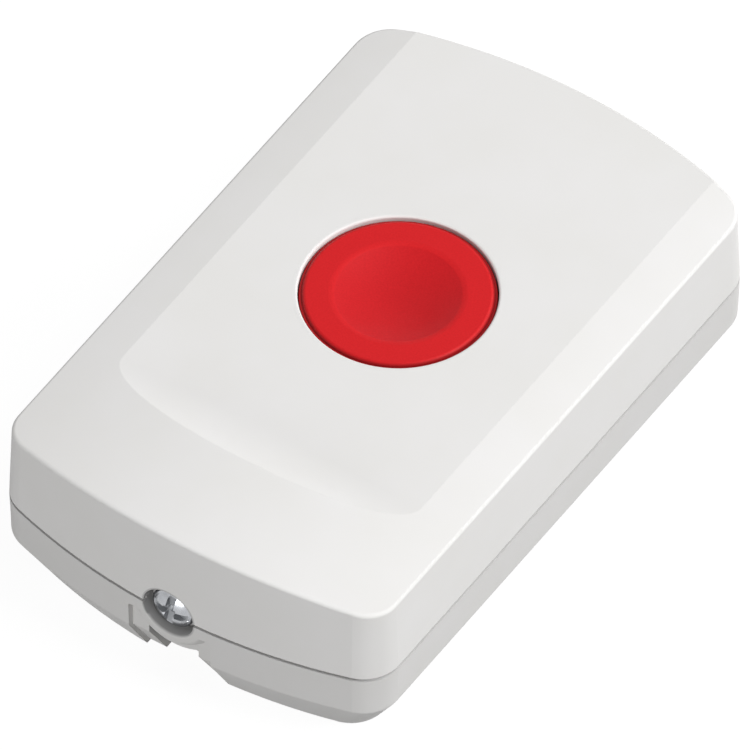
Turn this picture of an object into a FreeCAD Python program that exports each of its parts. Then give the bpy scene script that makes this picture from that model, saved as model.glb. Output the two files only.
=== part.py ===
import FreeCAD, Part
import math
import os

os.makedirs("parts", exist_ok=True)

Vector = FreeCAD.Vector

# Millimetres, +Z up from the flat back, +Y along the length away from the closing screw,
# +X across the width. The origin is the centre of the flat back.

# Plan outline at the parting line
housing_width = 51.0
housing_length = 82.2
end_bow_radius = 75.6
corner_radius = 4.65
half_width = housing_width / 2.0
half_length = housing_length / 2.0

# Heights above the flat back
bevel_height = 6.4
base_wall_height = 5.75
cover_side_height = 10.1
crown_rise = 2.14
panel_rise = 0.80
parting_height = bevel_height + base_wall_height
side_top_height = parting_height + cover_side_height
panel_height = side_top_height + panel_rise
crown_height = side_top_height + crown_rise

# Mould drafts as inward travel per millimetre of height, and the bevel round the back
base_draft = 0.0316
cover_draft = 0.035
bevel_inset = 3.53
bevel_corner_radius = 4.44
bevel_edge_round = 0.5
back_edge_round = 0.35

wall = 2.0
ceiling_height = panel_height - wall
root_overlap = 0.2
rim_round = 0.45
panel_edge_round = 0.4
panel_scoop_radius = 14.2
panel_front_land = 20.6
panel_scoop_start = -half_length + panel_front_land
inner_corner_radius = 2.4

# Parting line: a fine shadow groove outside, a tongue inside
groove_half_height = 0.22
groove_depth = 0.7
tongue_height = 1.5
tongue_thickness = 0.75
tongue_gap = 0.06

# Button
button_y = 4.5
cap_radius = 10.75
bore_gap = 0.47
bore_rim_round = 0.25
cap_edge_round = 0.45
cap_below_panel = 0.15
dish_radius = 7.45
dish_depth = 1.5
dish_edge_round = 1.6
cap_floor = 2.2
cap_skirt_thickness = 1.3
cap_skirt_height = 3.0
cap_rib_thickness = 1.0
cap_rib_depth = 0.8
flange_extra = 1.2
flange_thickness = 0.9
stop_gap = 0.03
collar_gap = 0.3
collar_thickness = 1.2
collar_height = 4.25
post_radius = 2.4

# Closing screw and its well
well_radius = 3.33
well_depth = 2.1
well_lip_round = 0.5
screw_seat_y = -half_length + well_depth
screw_head_radius = 2.72
screw_head_height = 2.05
screw_head_rim = 1.0
screw_shank_radius = 1.5
screw_length = 9.5
screw_point = 0.8
screw_point_radius = 0.9
cross_reach = 2.4
cross_width = 1.0
cross_depth = 1.15
cross_foot = 0.9
cross_draft = 0.12
cross_core_radius = 1.1
cross_turn = 6.0
tab_thickness = 2.0
tab_half_width = 4.4
tab_drop = 3.7
tab_hole_radius = 1.75
tab_gap = 0.15
tab_front_land = 0.35
insert_radius = 2.3
insert_length = 5.6
insert_groove_width = 0.7
insert_groove_depth = 0.35
insert_fit = 0.02
thread_fit = 0.05
boss_radius = 3.9
boss_length = 9.0
boss_floor = 1.2
boss_shank_gap = 0.3
cheek_front_inset = 1.6
house_front_inset = 3.0
parting_step = 0.5

# Stepped recess and notch under the screw
recess_depth = 1.2
recess_floor_y = -half_length + recess_depth
recess_half_width = 5.45
recess_drop = 1.87
recess_top = parting_height - recess_drop
recess_floor_bottom = 5.9
recess_bevel_depth = 0.85
recess_corner = 0.4
ring_radius = 6.1
notch_half_width = 3.3
notch_length = 4.9
notch_wall = 1.5

# Cylindrical cell, 17 mm across, that fills the width between its contacts
cell_radius = 8.45
cell_end_room = 6.4
cell_length = 2.0 * (half_width - wall - cell_end_room)
cell_button_radius = 3.0
cell_button_height = 1.1
cell_button_round = 0.3
cell_edge_round = 0.7
cell_clearance = 0.3
cell_height = wall + cell_clearance + cell_radius
cell_far_gap = 5.05
cell_y = half_length - cell_far_gap - cell_radius
cell_side_gap = 0.5
cradle_x = 9.0
cradle_thickness = 1.6
cradle_length = 15.0
pad_length = 20.0
pad_width = 6.0

# Sprung contacts at the cell's two ends
contact_thickness = 0.4
contact_half_width = 4.5
contact_foot = 2.2
contact_corner = 2.0
contact_boss_radius = 1.5
contact_boss_root = 2.2
contact_leg_x = 0.6
contact_leg_y = 3.0
contact_leg_half_width = 0.5
plus_reach = 0.5
minus_reach = 3.3
plus_contact_x = cell_length / 2.0 + plus_reach
minus_plate_x = -cell_length / 2.0 - minus_reach
spring_radius = 2.2
spring_wire_radius = 0.3
spring_turns = 3.0

# Hooks at the far end of the cover
hook_x = 12.0
hook_half_width = 3.0
hook_thickness = 1.3
hook_bottom = 8.6
hook_nib = 0.7
hook_nib_rise = 0.6
hook_nib_height = 1.4
hook_gap = 0.12

# Circuit board
board_bottom = 6.0
board_thickness = 1.6
board_top = board_bottom + board_thickness
board_edge_gap = 3.9
board_half_width = half_width - board_edge_gap
board_front_room = 12.0
board_front = screw_seat_y + board_front_room
board_arm = 6.9
board_back = cell_y + board_arm
board_corner = 2.0
pillar_radius = 2.6
pillar_inset = 3.2
pillar_x = board_half_width - pillar_inset
pillar_front_inset = 3.4
pillar_cell_gap = 4.5
pillar_front_y = board_front + pillar_front_inset
pillar_back_y = cell_y - cell_radius - pillar_cell_gap
board_screw_radius = 1.1
board_screw_head_radius = 2.0
board_screw_head_height = 1.4
board_screw_edge = 0.6
board_screw_slot_length = 1.1
board_screw_slot_width = 0.2
board_screw_length = 5.4
board_screw_gap = 0.15
contact_height = 8.4
contact_top = board_top + contact_height
small_part_inset = 7.6

# Pins through the board
pin_thickness = 0.3
pin_width = 0.8
pin_length = 1.5
pin_hole_radius = 0.56
leg_hole_radius = 0.66

# Push-button switch
switch_half_width = 6.0
switch_body_height = 3.4
switch_frame_thickness = 0.3
switch_fold_foot = 0.8
switch_plunger_radius = 3.4
switch_plunger_height = 7.3
switch_plunger_top = board_top + switch_plunger_height
switch_plunger_edge = 0.35
switch_collar = 0.6
switch_collar_height = 0.5
switch_well_depth = 1.5
switch_play = 0.3
switch_pin_gap = 0.25
switch_pin_y = 2.5
switch_travel_gap = 0.02

# Tamper switch
tamper_half_width = 3.0
tamper_front_inset = 10.0
tamper_x = -board_half_width + small_part_inset
tamper_y = board_front + tamper_front_inset
tamper_body_height = 3.3
tamper_plunger_radius = 1.75
tamper_plunger_height = 8.8
tamper_plunger_top = board_top + tamper_plunger_height
tamper_collar = 0.4
tamper_well_depth = 1.3
tamper_play = 0.1
tamper_pin_y = 2.25
tamper_post_radius = 1.6
tamper_web_length = 4.0
tamper_web_thickness = 1.0

# Radio board with its shield, and the aerial beside it
radio_width = 15.0
radio_length = 12.0
radio_thickness = 0.8
radio_x = -3.0
radio_front_inset = 1.5
radio_y = board_front + radio_front_inset
radio_notch_radius = 0.4
radio_notch_pitch = 2.0
radio_notch_start = 1.5
radio_chip_size = 4.0
radio_chip_height = 0.85
shield_border = 1.2
shield_height = 2.2
shield_sheet = 0.25
shield_corner = 0.4
aerial_radius = 2.6
aerial_wire_radius = 0.4
aerial_pitch = 2.3
aerial_turns = 7.0
aerial_inset = 3.6
aerial_front_inset = 8.5
aerial_lift = 3.2
aerial_x = board_half_width - aerial_inset
aerial_y = board_front + aerial_front_inset
aerial_height = board_top + aerial_lift

# Small parts on the board
processor_length = 9.9
processor_width = 3.9
processor_height = 1.6
processor_lift = 0.15
processor_bevel = 0.25
processor_dot = 0.4
lead_pitch = 1.27
lead_width = 0.4
lead_reach = 1.1
lead_thickness = 0.2
processor_gap = 0.45
processor_y = radio_y + radio_length + processor_gap + lead_reach + processor_width / 2.0
crystal_half_length = 3.2
crystal_radius = 1.9
crystal_height = 3.4
crystal_flange = 0.4
crystal_edge_round = 0.5
crystal_front_inset = 17.6
crystal_x = -board_half_width + small_part_inset
crystal_y = board_front + crystal_front_inset
capacitor_radius = 3.15
capacitor_height = 6.6
capacitor_foot = 1.1
capacitor_foot_half = 3.3
capacitor_foot_cut = 1.2
capacitor_edge_round = 0.4
capacitor_waist = 0.3
capacitor_waist_low = 1.0
capacitor_waist_high = 1.4
capacitor_x = board_half_width - small_part_inset
capacitor_y = button_y + 2.5
lamp_radius = 1.5
lamp_collar_radius = 1.9
lamp_collar_height = 0.9
lamp_height = 3.2
lamp_x = -8.7
lamp_drop = 5.7
lamp_y = button_y - lamp_drop
lamp_lead = 0.5
lead_pair = 2.54
header_x = 10.0
header_y = -5.0
header_height = 2.5
header_pin = 0.64
header_pin_height = 8.0
header_fit = 0.02
jumper_height = 6.5
jumper_bevel = 0.4
chip_size = 2.0
chip_width = 1.25
chip_height = 0.7
chip_pitch = 3.6
chip_row_inset = 6.4
chip_row_x = -board_half_width + chip_row_inset
chip_row_y = (button_y + switch_half_width + cell_y - cell_radius - cell_side_gap - chip_width) / 2.0
chip_column_x = -8.5
chip_column_inset = 2.5
chip_column_y = board_front + chip_column_inset

# Wall holes in the back
wall_hole_radius = 2.1
wall_sink_radius = 3.3
wall_hole_inset = 10.0
wall_hole_end_inset = 10.1
wall_hole_x = half_width - wall_hole_inset
wall_hole_front_y = -half_length + wall_hole_end_inset


def arc_radius(half_chord, rise):
    """Radius of the arc that rises by rise over half_chord on each side."""
    return (half_chord ** 2 + rise ** 2) / (2.0 * rise)


def outline_wire(inset, height, corner=None):
    """Closed outline at a height: straight sides, bowed ends and tangent corner arcs."""
    side = half_width - inset
    end = half_length - inset
    bow = end_bow_radius - inset
    turn = corner if corner else corner_radius - inset
    bow_centre = end - bow
    turn_x = side - turn
    turn_y = bow_centre + math.sqrt((bow - turn) ** 2 - turn_x ** 2)
    lean = math.atan2(turn_x, turn_y - bow_centre)
    end_x = bow * math.sin(lean)
    end_y = bow_centre + bow * math.cos(lean)
    middle = (math.pi / 2.0 - lean) / 2.0
    mid_x = turn_x + turn * math.cos(middle)
    mid_y = turn_y + turn * math.sin(middle)

    def point(x, y):
        return Vector(x, y, height)

    def line(a, b):
        return Part.LineSegment(a, b).toShape()

    def arc(a, b, c):
        return Part.Arc(a, b, c).toShape()

    edges = [
        line(point(side, -turn_y), point(side, turn_y)),
        arc(point(side, turn_y), point(mid_x, mid_y), point(end_x, end_y)),
        arc(point(end_x, end_y), point(0, end), point(-end_x, end_y)),
        arc(point(-end_x, end_y), point(-mid_x, mid_y), point(-side, turn_y)),
        line(point(-side, turn_y), point(-side, -turn_y)),
        arc(point(-side, -turn_y), point(-mid_x, -mid_y), point(-end_x, -end_y)),
        arc(point(-end_x, -end_y), point(0, -end), point(end_x, -end_y)),
        arc(point(end_x, -end_y), point(mid_x, -mid_y), point(side, -turn_y)),
    ]
    return Part.Wire(edges)


def loft(*wires):
    """Straight-sided solid through a stack of outlines."""
    return Part.makeLoft(list(wires), True, True)


def cover_inset(height):
    """How far the drafted cover wall has moved in at a height."""
    return cover_draft * (height - parting_height)


def base_inset(height):
    """How far the base wall has moved in at a height: drafted wall, then bevel."""
    if height >= bevel_height:
        return base_draft * (parting_height - height)
    slope = bevel_inset / bevel_height
    return base_draft * base_wall_height + slope * (bevel_height - height)


def bevel_angle():
    """Lean of the bevel from upright."""
    return math.atan(bevel_inset / bevel_height)


def box(x0, x1, y0, y1, z0, z1):
    """Box between two corners."""
    return Part.makeBox(x1 - x0, y1 - y0, z1 - z0, Vector(x0, y0, z0))


def block_at(x, y, half_x, half_y, z0, z1):
    """Box centred on a spot."""
    return box(x - half_x, x + half_x, y - half_y, y + half_y, z0, z1)


def rod(radius, x, y, z0, z1):
    """Upright cylinder between two heights."""
    return Part.makeCylinder(radius, z1 - z0, Vector(x, y, z0))


def rod_y(radius, y0, y1):
    """Cylinder on the closing screw's line, along the length."""
    return Part.makeCylinder(radius, y1 - y0, Vector(0, y0, parting_height), Vector(0, 1, 0))


def rod_x(radius, x0, x1):
    """Cylinder on the cell's line, across the width."""
    return Part.makeCylinder(radius, x1 - x0, Vector(x0, cell_y, cell_height), Vector(1, 0, 0))


def prism_x(points, x0, x1):
    """Prism between two x values over a closed outline of (y, z) points."""
    corners = [Vector(x0, y, z) for y, z in points]
    face = Part.Face(Part.makePolygon(corners + corners[:1]))
    return face.extrude(Vector(x1 - x0, 0, 0))


def edges_where(shape, test):
    """Edges of a shape that pass a test."""
    return [edge for edge in shape.Edges if test(edge)]


def round_top(shape, radius):
    """Rounds the edges that lie level at the top of a shape."""
    high = shape.BoundBox.ZMax
    return shape.makeFillet(radius, edges_where(shape, lambda e: e.BoundBox.ZMin > high - 0.01))


def bevel_top(shape, width):
    """Bevels the edges that lie level at the top of a shape."""
    high = shape.BoundBox.ZMax
    return shape.makeChamfer(width, edges_where(shape, lambda e: e.BoundBox.ZMin > high - 0.01))


def turned(shape, x, y, angle):
    """The shape turned about an upright line."""
    shape.rotate(Vector(x, y, 0), Vector(0, 0, 1), angle)
    return shape


def crown_solid(inset):
    """Everything under the crown: a wide cylinder whose axis runs along the length."""
    radius = arc_radius(half_width - cover_inset(side_top_height), crown_rise)
    start = Vector(0, -housing_length, crown_height - radius)
    cylinder = Part.makeCylinder(radius - inset, 2.0 * housing_length, start, Vector(0, 1, 0))
    cylinder.rotate(start, Vector(0, 1, 0), 180)
    return cylinder


def panel_cutter():
    """Space above the flat panel, with the concave scoop that meets the crown at the front."""
    sweep = math.radians(40.0)

    def point(y, z):
        return Vector(-housing_width, y, z)

    def on_scoop(angle):
        y = panel_scoop_start - panel_scoop_radius * math.sin(angle)
        return point(y, panel_height + panel_scoop_radius * (1.0 - math.cos(angle)))

    start = on_scoop(0.0)
    end = on_scoop(sweep)
    top = panel_height + panel_scoop_radius
    far = point(housing_length, panel_height)
    edges = [
        Part.LineSegment(far, start).toShape(),
        Part.Arc(start, on_scoop(sweep / 2.0), end).toShape(),
        Part.LineSegment(end, point(end.y, top)).toShape(),
        Part.LineSegment(point(end.y, top), point(far.y, top)).toShape(),
        Part.LineSegment(point(far.y, top), far).toShape(),
    ]
    return Part.Face(Part.Wire(edges)).extrude(Vector(2.0 * housing_width, 0, 0))


def cover_skin():
    """Outside of the cover: rounded rim, crown, flat panel and the panel's rounded far edge."""
    top = crown_height + 1.0
    body = loft(outline_wire(0.0, parting_height), outline_wire(cover_inset(top), top))
    body = body.common(crown_solid(0.0))

    def is_rim(edge):
        high = edge.BoundBox.ZMin > side_top_height - 0.1
        middle = edge.CenterOfMass
        outside = abs(middle.x) > half_width - 3.0 or abs(middle.y) > half_length - 5.1
        return high and outside

    body = body.makeFillet(rim_round, edges_where(body, is_rim))
    body = body.cut(panel_cutter())

    def is_far_edge(edge):
        level = edge.BoundBox.ZLength < 0.01 and abs(edge.BoundBox.ZMin - panel_height) < 0.01
        return level and edge.CenterOfMass.y > half_length - 2.1

    return body.makeFillet(panel_edge_round, edges_where(body, is_far_edge))


def cover_hollow():
    """Space inside the cover."""
    low = outline_wire(wall, parting_height)
    high = outline_wire(wall + cover_inset(ceiling_height), ceiling_height)
    return loft(low, high).common(crown_solid(wall))


def groove_cutter(z0, z1):
    """Band round the outside of the parting line."""
    outer = loft(outline_wire(-1.0, z0), outline_wire(-1.0, z1))
    inner = loft(outline_wire(groove_depth, z0), outline_wire(groove_depth, z1))
    return outer.cut(inner)


def tongue(gap):
    """Low wall that stands on the base inside the cover; gap makes room for it."""
    z0 = parting_height - parting_step
    z1 = parting_height + tongue_height + gap
    outside = wall - tongue_thickness - gap
    inside = wall + 0.02
    outer = loft(outline_wire(outside, z0), outline_wire(outside, z1))
    inner = loft(outline_wire(inside, z0), outline_wire(inside, z1))
    return outer.cut(inner)


def button_bore(shape):
    """Cuts the button's bore through the panel and rounds its rim."""
    radius = cap_radius + bore_gap
    shape = shape.cut(rod(radius, 0, button_y, parting_height, crown_height + 1.0))

    def is_rim(edge):
        frame = edge.BoundBox
        wide = abs(frame.XLength - 2.0 * radius) < 0.01
        return wide and abs(frame.ZMin - panel_height) < 0.01 and frame.ZLength < 0.01

    return shape.makeFillet(bore_rim_round, edges_where(shape, is_rim))


def button_collar():
    """Guide ring under the panel, round the cap's flange."""
    inner = cap_radius + flange_extra + collar_gap
    low = ceiling_height - collar_height
    ring = rod(inner + collar_thickness, 0, button_y, low, ceiling_height + root_overlap)
    return ring.cut(rod(inner, 0, button_y, low - 1.0, ceiling_height))


def closing_tab():
    """Tab inside the cover's front wall that the closing screw clamps."""
    low = parting_height - tab_drop
    tab = box(-tab_half_width, tab_half_width, screw_seat_y - tab_front_land,
              screw_seat_y + tab_thickness,
              low, ceiling_height + root_overlap)
    front = box(-tab_half_width - 1.0, tab_half_width + 1.0, screw_seat_y - 1.0, screw_seat_y,
                low - 1.0, parting_height + groove_half_height)
    return tab.cut(front)


def hook_back():
    """How far out the hooks' backs can stand: just clear of the bowed far wall."""
    bow = end_bow_radius - wall
    sag = bow - math.sqrt(bow ** 2 - (hook_x + hook_half_width) ** 2)
    return half_length - wall - hook_gap - sag


def cover_hooks():
    """Two hooks at the far end that tuck under lips in the base."""
    back = hook_back()
    top = ceiling_height + root_overlap
    tip = hook_bottom + hook_nib_height
    profile = [
        (back - hook_thickness, top),
        (back - hook_thickness, hook_bottom),
        (back, hook_bottom),
        (back + hook_nib, hook_bottom + hook_nib_rise),
        (back + hook_nib, tip),
        (back, tip),
        (back, top),
    ]
    middles = (-hook_x, hook_x)
    return [prism_x(profile, x - hook_half_width, x + hook_half_width) for x in middles]


def tamper_rib():
    """Post under the cover that keeps the tamper switch pressed."""
    top = ceiling_height + root_overlap
    post = rod(tamper_post_radius, tamper_x, tamper_y, tamper_plunger_top, top)
    web = block_at(tamper_x, tamper_y, tamper_web_thickness / 2.0, tamper_web_length,
                   tamper_plunger_top + tamper_post_radius, top)
    return post.fuse(web)


def front_cover():
    """Upper half of the housing."""
    shell = cover_skin().cut(cover_hollow())
    inside = [button_collar(), closing_tab(), tamper_rib()] + cover_hooks()
    shell = shell.fuse(inside)
    shell = shell.cut(groove_cutter(parting_height - 1.0, parting_height + groove_half_height))
    shell = shell.cut(tongue(tongue_gap))
    shell = shell.cut(rod_y(well_radius, -housing_length, screw_seat_y))
    hole_end = screw_seat_y + 2.0 * tab_thickness
    shell = shell.cut(rod_y(tab_hole_radius, screw_seat_y - 1.0, hole_end))
    return button_bore(shell).removeSplitter()


def base_skin():
    """Outside of the base: drafted wall, softened knee, bevel all round and a rounded back edge."""
    knee_inset = base_inset(bevel_height)
    knee = outline_wire(knee_inset, bevel_height)
    upper = loft(knee, outline_wire(0.0, parting_height))
    foot = outline_wire(base_inset(0.0), 0.0, bevel_corner_radius)
    body = upper.fuse(loft(foot, knee))

    def is_knee(edge):
        frame = edge.BoundBox
        return frame.ZLength < 0.01 and abs(frame.ZMin - bevel_height) < 0.01

    body = body.makeFillet(bevel_edge_round, edges_where(body, is_knee))
    return body.makeFillet(back_edge_round, edges_where(body, lambda e: e.BoundBox.ZMax < 0.01))


def base_hollow():
    """Space inside the base."""
    slope = bevel_inset / bevel_height
    level_wall = wall / math.cos(bevel_angle())
    side = base_inset(bevel_height) + wall
    knee = bevel_height + (level_wall - wall) / slope
    floor_inset = base_inset(0.0) + level_wall - slope * wall
    turn = inner_corner_radius
    lower = loft(outline_wire(floor_inset, wall, turn), outline_wire(side, knee, turn))
    upper = loft(outline_wire(side, knee, turn), outline_wire(wall, parting_height + 0.01, turn))
    return lower.fuse(upper)


def recess_cutter():
    """Stepped recess under the screw: an upright floor, then one along the bevel."""
    front = -half_length - 3.0
    slope = bevel_inset / bevel_height
    level_depth = recess_bevel_depth / math.cos(bevel_angle())
    foot = -half_length + base_inset(0.0) + level_depth + slope
    outline = [
        (front, recess_top),
        (recess_floor_y, recess_top),
        (recess_floor_y, recess_floor_bottom),
        (foot, -1.0),
        (front, -1.0),
    ]
    cutter = prism_x(outline, -recess_half_width, recess_half_width)

    def is_top_corner(edge):
        frame = edge.BoundBox
        upright = frame.XLength < 0.01 and frame.ZLength < 0.01
        return upright and abs(frame.ZMin - recess_top) < 0.01

    return cutter.makeFillet(recess_corner, edges_where(cutter, is_top_corner))


def notch_cutter():
    """Notch through the bevel and the back, closed above by the ring round the screw."""
    front = -half_length - 3.0
    back = recess_floor_y + notch_length
    notch = box(-notch_half_width, notch_half_width, front, back, -1.0, parting_height - 2.0)
    return notch.cut(rod_y(ring_radius, front - 1.0, back + 1.0))


def boss_start():
    """Where the boss begins, behind the cover's tab."""
    return screw_seat_y + tab_thickness + tab_gap


def screw_boss():
    """Block behind the screw's well that holds the threaded insert and houses the notch."""
    start = boss_start()
    end = start + boss_length
    front = -half_length
    boss = rod_y(boss_radius, start, end)
    web = box(-boss_radius, boss_radius, start, end, wall - root_overlap, parting_height)
    half = notch_half_width + notch_wall
    back = recess_floor_y + notch_length + notch_wall
    ceiling = parting_height - ring_radius + wall
    house = box(-half, half, front + house_front_inset, back, back_edge_round, ceiling)
    side = boss_radius + wall
    cheeks = box(-side, side, front + cheek_front_inset, start, wall - root_overlap,
                 parting_height - parting_step)
    return boss.fuse([web, house, cheeks])


def tab_slot():
    """Room in the base for the cover's tab."""
    half = tab_half_width + tab_gap
    return box(-half, half, screw_seat_y - tab_gap, boss_start(),
               parting_height - tab_drop - tab_gap, parting_height + 5.0)


def board_screw_spots():
    """Where the board's four screws stand."""
    return [(x, y) for x in (-pillar_x, pillar_x) for y in (pillar_front_y, pillar_back_y)]


def pillars():
    """Pillars under the circuit board."""
    low = wall - root_overlap
    return [rod(pillar_radius, x, y, low, board_bottom) for x, y in board_screw_spots()]


def pilot_holes():
    """Blind holes in the pillars for the board's screws."""
    radius = board_screw_radius + thread_fit
    low = wall + root_overlap
    return [rod(radius, x, y, low, board_bottom + 1.0) for x, y in board_screw_spots()]


def cell_cradle():
    """Two saddles that carry the cell."""
    cell = rod_x(cell_radius, -housing_width, housing_width)
    low = wall - root_overlap
    saddles = []
    for x in (-cradle_x, cradle_x):
        rib = block_at(x, cell_y, cradle_thickness / 2.0, cradle_length / 2.0, low, board_bottom)
        saddles.append(rib.cut(cell))
    return saddles


def hook_pockets():
    """Pockets in the far wall that the cover's hooks tuck into."""
    back = hook_back()
    low = hook_bottom - hook_gap
    high = hook_bottom + hook_nib_height + hook_gap
    half = hook_half_width + hook_gap
    middles = (-hook_x, hook_x)
    return [box(x - half, x + half, back - 0.5, back + hook_nib + hook_gap, low, high) for x in middles]


def wall_hole_spots():
    """Where the wall screws pass through the back: two in front, one under the cell."""
    return [(-wall_hole_x, wall_hole_front_y), (wall_hole_x, wall_hole_front_y), (0.0, cell_y)]


def wall_holes():
    """Countersunk holes through the back."""
    holes = []
    sink = wall_sink_radius - wall_hole_radius
    for x, y in wall_hole_spots():
        start = Vector(x, y, wall - sink)
        holes.append(rod(wall_hole_radius, x, y, -1.0, wall + 1.0))
        holes.append(Part.makeCone(wall_hole_radius, wall_sink_radius + 0.5, sink + 0.5, start))
    return holes


def insert_bore():
    """Bore for the threaded insert, with a clearance hole behind it."""
    start = boss_start()
    bore = rod_y(insert_radius + insert_fit, start - 1.0, start + insert_length)
    return bore.fuse(rod_y(screw_shank_radius + boss_shank_gap, start, start + boss_length - boss_floor))


def round_well_lip(shape):
    """Soft lip where the screw's well opens on the recess floor."""

    def is_lip(edge):
        frame = edge.BoundBox
        flat = frame.YLength < 0.01 and abs(frame.YMin - recess_floor_y) < 0.01
        curved = edge.Curve.TypeId == "Part::GeomCircle"
        return flat and curved and abs(edge.Curve.Radius - well_radius) < 0.01

    return shape.makeFillet(well_lip_round, edges_where(shape, is_lip))


def rear_housing():
    """Lower half of the housing."""
    skin = base_skin()
    lip = tongue(0.0)
    inner = half_width - wall - tongue_gap
    inner_end = half_length - wall - tongue_gap
    above = box(-inner, inner, -inner_end, inner_end, parting_height, parting_height + 5.0)
    inside = [lip, screw_boss()] + pillars() + cell_cradle()
    shell = skin.cut(base_hollow()).fuse(inside)
    shell = shell.common(skin.fuse([above, lip]))
    shell = shell.cut(groove_cutter(parting_height - groove_half_height, parting_height + 3.0))
    shell = shell.cut([recess_cutter(), notch_cutter(), tab_slot()])
    shell = shell.cut(rod_y(well_radius, -housing_length, screw_seat_y + 0.3))
    shell = shell.cut([insert_bore()] + hook_pockets() + wall_holes() + pilot_holes())
    return round_well_lip(shell).removeSplitter()


def button_cap():
    """Red cap: dished face, rounded edge, skirt, flange behind the panel and a central post."""
    top = panel_height - cap_below_panel
    under = top - cap_floor
    skirt_low = top - cap_skirt_height
    flange_top = ceiling_height - stop_gap
    disc = round_top(rod(cap_radius, 0, button_y, under, top), cap_edge_round)
    bowl = arc_radius(dish_radius, dish_depth)
    ball = Part.makeSphere(bowl, Vector(0, button_y, top - dish_depth + bowl))
    skirt = rod(cap_radius, 0, button_y, skirt_low, under + root_overlap)
    flange = rod(cap_radius + flange_extra, 0, button_y, flange_top - flange_thickness, flange_top)
    post_low = switch_plunger_top + switch_travel_gap
    post = rod(post_radius, 0, button_y, post_low, under)
    hollow = rod(cap_radius - cap_skirt_thickness, 0, button_y, skirt_low - 1.0, under)
    ribs = []
    for angle in (0, 90):
        rib = block_at(0, button_y, cap_radius - cap_skirt_thickness / 2.0, cap_rib_thickness / 2.0,
                       under - cap_rib_depth, under + root_overlap)
        ribs.append(turned(rib, 0, button_y, angle))
    body = skirt.fuse(flange).cut(hollow).fuse([disc, post] + ribs)
    body = body.cut(ball).removeSplitter()

    def is_dish_edge(edge):
        frame = edge.BoundBox
        level = frame.ZLength < 0.01 and abs(frame.ZMin - top) < 0.01
        return level and abs(frame.XLength - 2.0 * dish_radius) < 0.01

    return body.makeFillet(dish_edge_round, edges_where(body, is_dish_edge))


def pan_head():
    """Screw head as a body of revolution: straight rim, then a dome."""
    seat = screw_seat_y
    rim = seat - screw_head_rim
    crown = seat - screw_head_height
    dome = arc_radius(screw_head_radius, screw_head_height - screw_head_rim)
    angle = math.asin(screw_head_radius / dome) / 2.0

    def point(radius, y):
        return Vector(radius, y, parting_height)

    middle = point(dome * math.sin(angle), crown + dome * (1.0 - math.cos(angle)))
    edges = [
        Part.LineSegment(point(0, crown), point(0, seat)).toShape(),
        Part.LineSegment(point(0, seat), point(screw_head_radius, seat)).toShape(),
        Part.LineSegment(point(screw_head_radius, seat), point(screw_head_radius, rim)).toShape(),
        Part.Arc(point(screw_head_radius, rim), middle, point(0, crown)).toShape(),
    ]
    return Part.Face(Part.Wire(edges)).revolve(point(0, 0), Vector(0, 1, 0), 360)


def cross_wing(y, reach, half):
    """Outline of one wing of the cross recess at a depth."""
    corners = [(-reach, -half), (reach, -half), (reach, half), (-reach, half), (-reach, -half)]
    return Part.makePolygon([Vector(x, y, z) for x, z in corners])


def cross_recess():
    """Tapered cross with a pointed core, turned a little off upright."""
    crown = screw_seat_y - screw_head_height
    mouth_y = crown - 0.3
    half = cross_width / 2.0
    parts = []
    for angle in (0.0, 90.0):
        mouth = cross_wing(mouth_y, cross_reach + 0.2, half)
        foot = cross_wing(crown + cross_depth, cross_reach - cross_foot, half - cross_draft)
        wing = Part.makeLoft([mouth, foot], True, True)
        wing.rotate(Vector(0, 0, 0), Vector(0, 1, 0), angle + cross_turn)
        wing.translate(Vector(0, 0, parting_height))
        parts.append(wing)
    start = Vector(0, mouth_y, parting_height)
    core = Part.makeCone(cross_core_radius, 0.1, cross_depth + 0.9, start, Vector(0, 1, 0))
    return parts[0].fuse([parts[1], core])


def closing_screw():
    """Pan-head cross-recess screw lying along the length, head in the well."""
    tip_y = screw_seat_y + screw_length - screw_point
    shank = rod_y(screw_shank_radius, screw_seat_y - 0.1, tip_y)
    tip = Part.makeCone(screw_shank_radius, screw_point_radius, screw_point,
                        Vector(0, tip_y, parting_height), Vector(0, 1, 0))
    return pan_head().cut(cross_recess()).fuse([shank, tip]).removeSplitter()


def threaded_insert():
    """Brass insert with two grooves that lock it in its boss."""
    start = boss_start()
    body = rod_y(insert_radius, start, start + insert_length)
    for share in (0.27, 0.61):
        y = start + share * insert_length
        ring = rod_y(insert_radius + 1.0, y, y + insert_groove_width)
        ring = ring.cut(rod_y(insert_radius - insert_groove_depth, start, start + insert_length))
        body = body.cut(ring)
    hole = rod_y(screw_shank_radius + thread_fit, start - 1.0, start + insert_length + 1.0)
    return body.cut(hole)


def through_board(radius, x, y):
    """Hole through the board."""
    return rod(radius, x, y, board_bottom - 1.0, board_top + 1.0)


def circuit_board():
    """Board with a cut-out for the cell between its two arms."""
    board = box(-board_half_width, board_half_width, board_front, board_back, board_bottom, board_top)
    corners = edges_where(board, lambda e: e.BoundBox.ZLength > board_thickness - 0.01)
    board = board.makeFillet(board_corner, corners)
    cell_half = cell_radius + cell_side_gap
    arm = cell_length / 2.0 + 0.2
    board = board.cut(box(-arm, arm, cell_y - cell_half, board_back + 5.0, 0.0, panel_height))
    screws = [through_board(board_screw_radius + board_screw_gap, x, y) for x, y in board_screw_spots()]
    spots = switch_pin_spots() + tamper_pin_spots() + header_pin_spots() + lamp_lead_spots()
    pin_holes = [through_board(pin_hole_radius, x, y) for x, y in spots]
    leg_holes = [through_board(leg_hole_radius, x, y) for x, y in contact_leg_spots()]
    return board.cut(screws + pin_holes + leg_holes)


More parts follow.
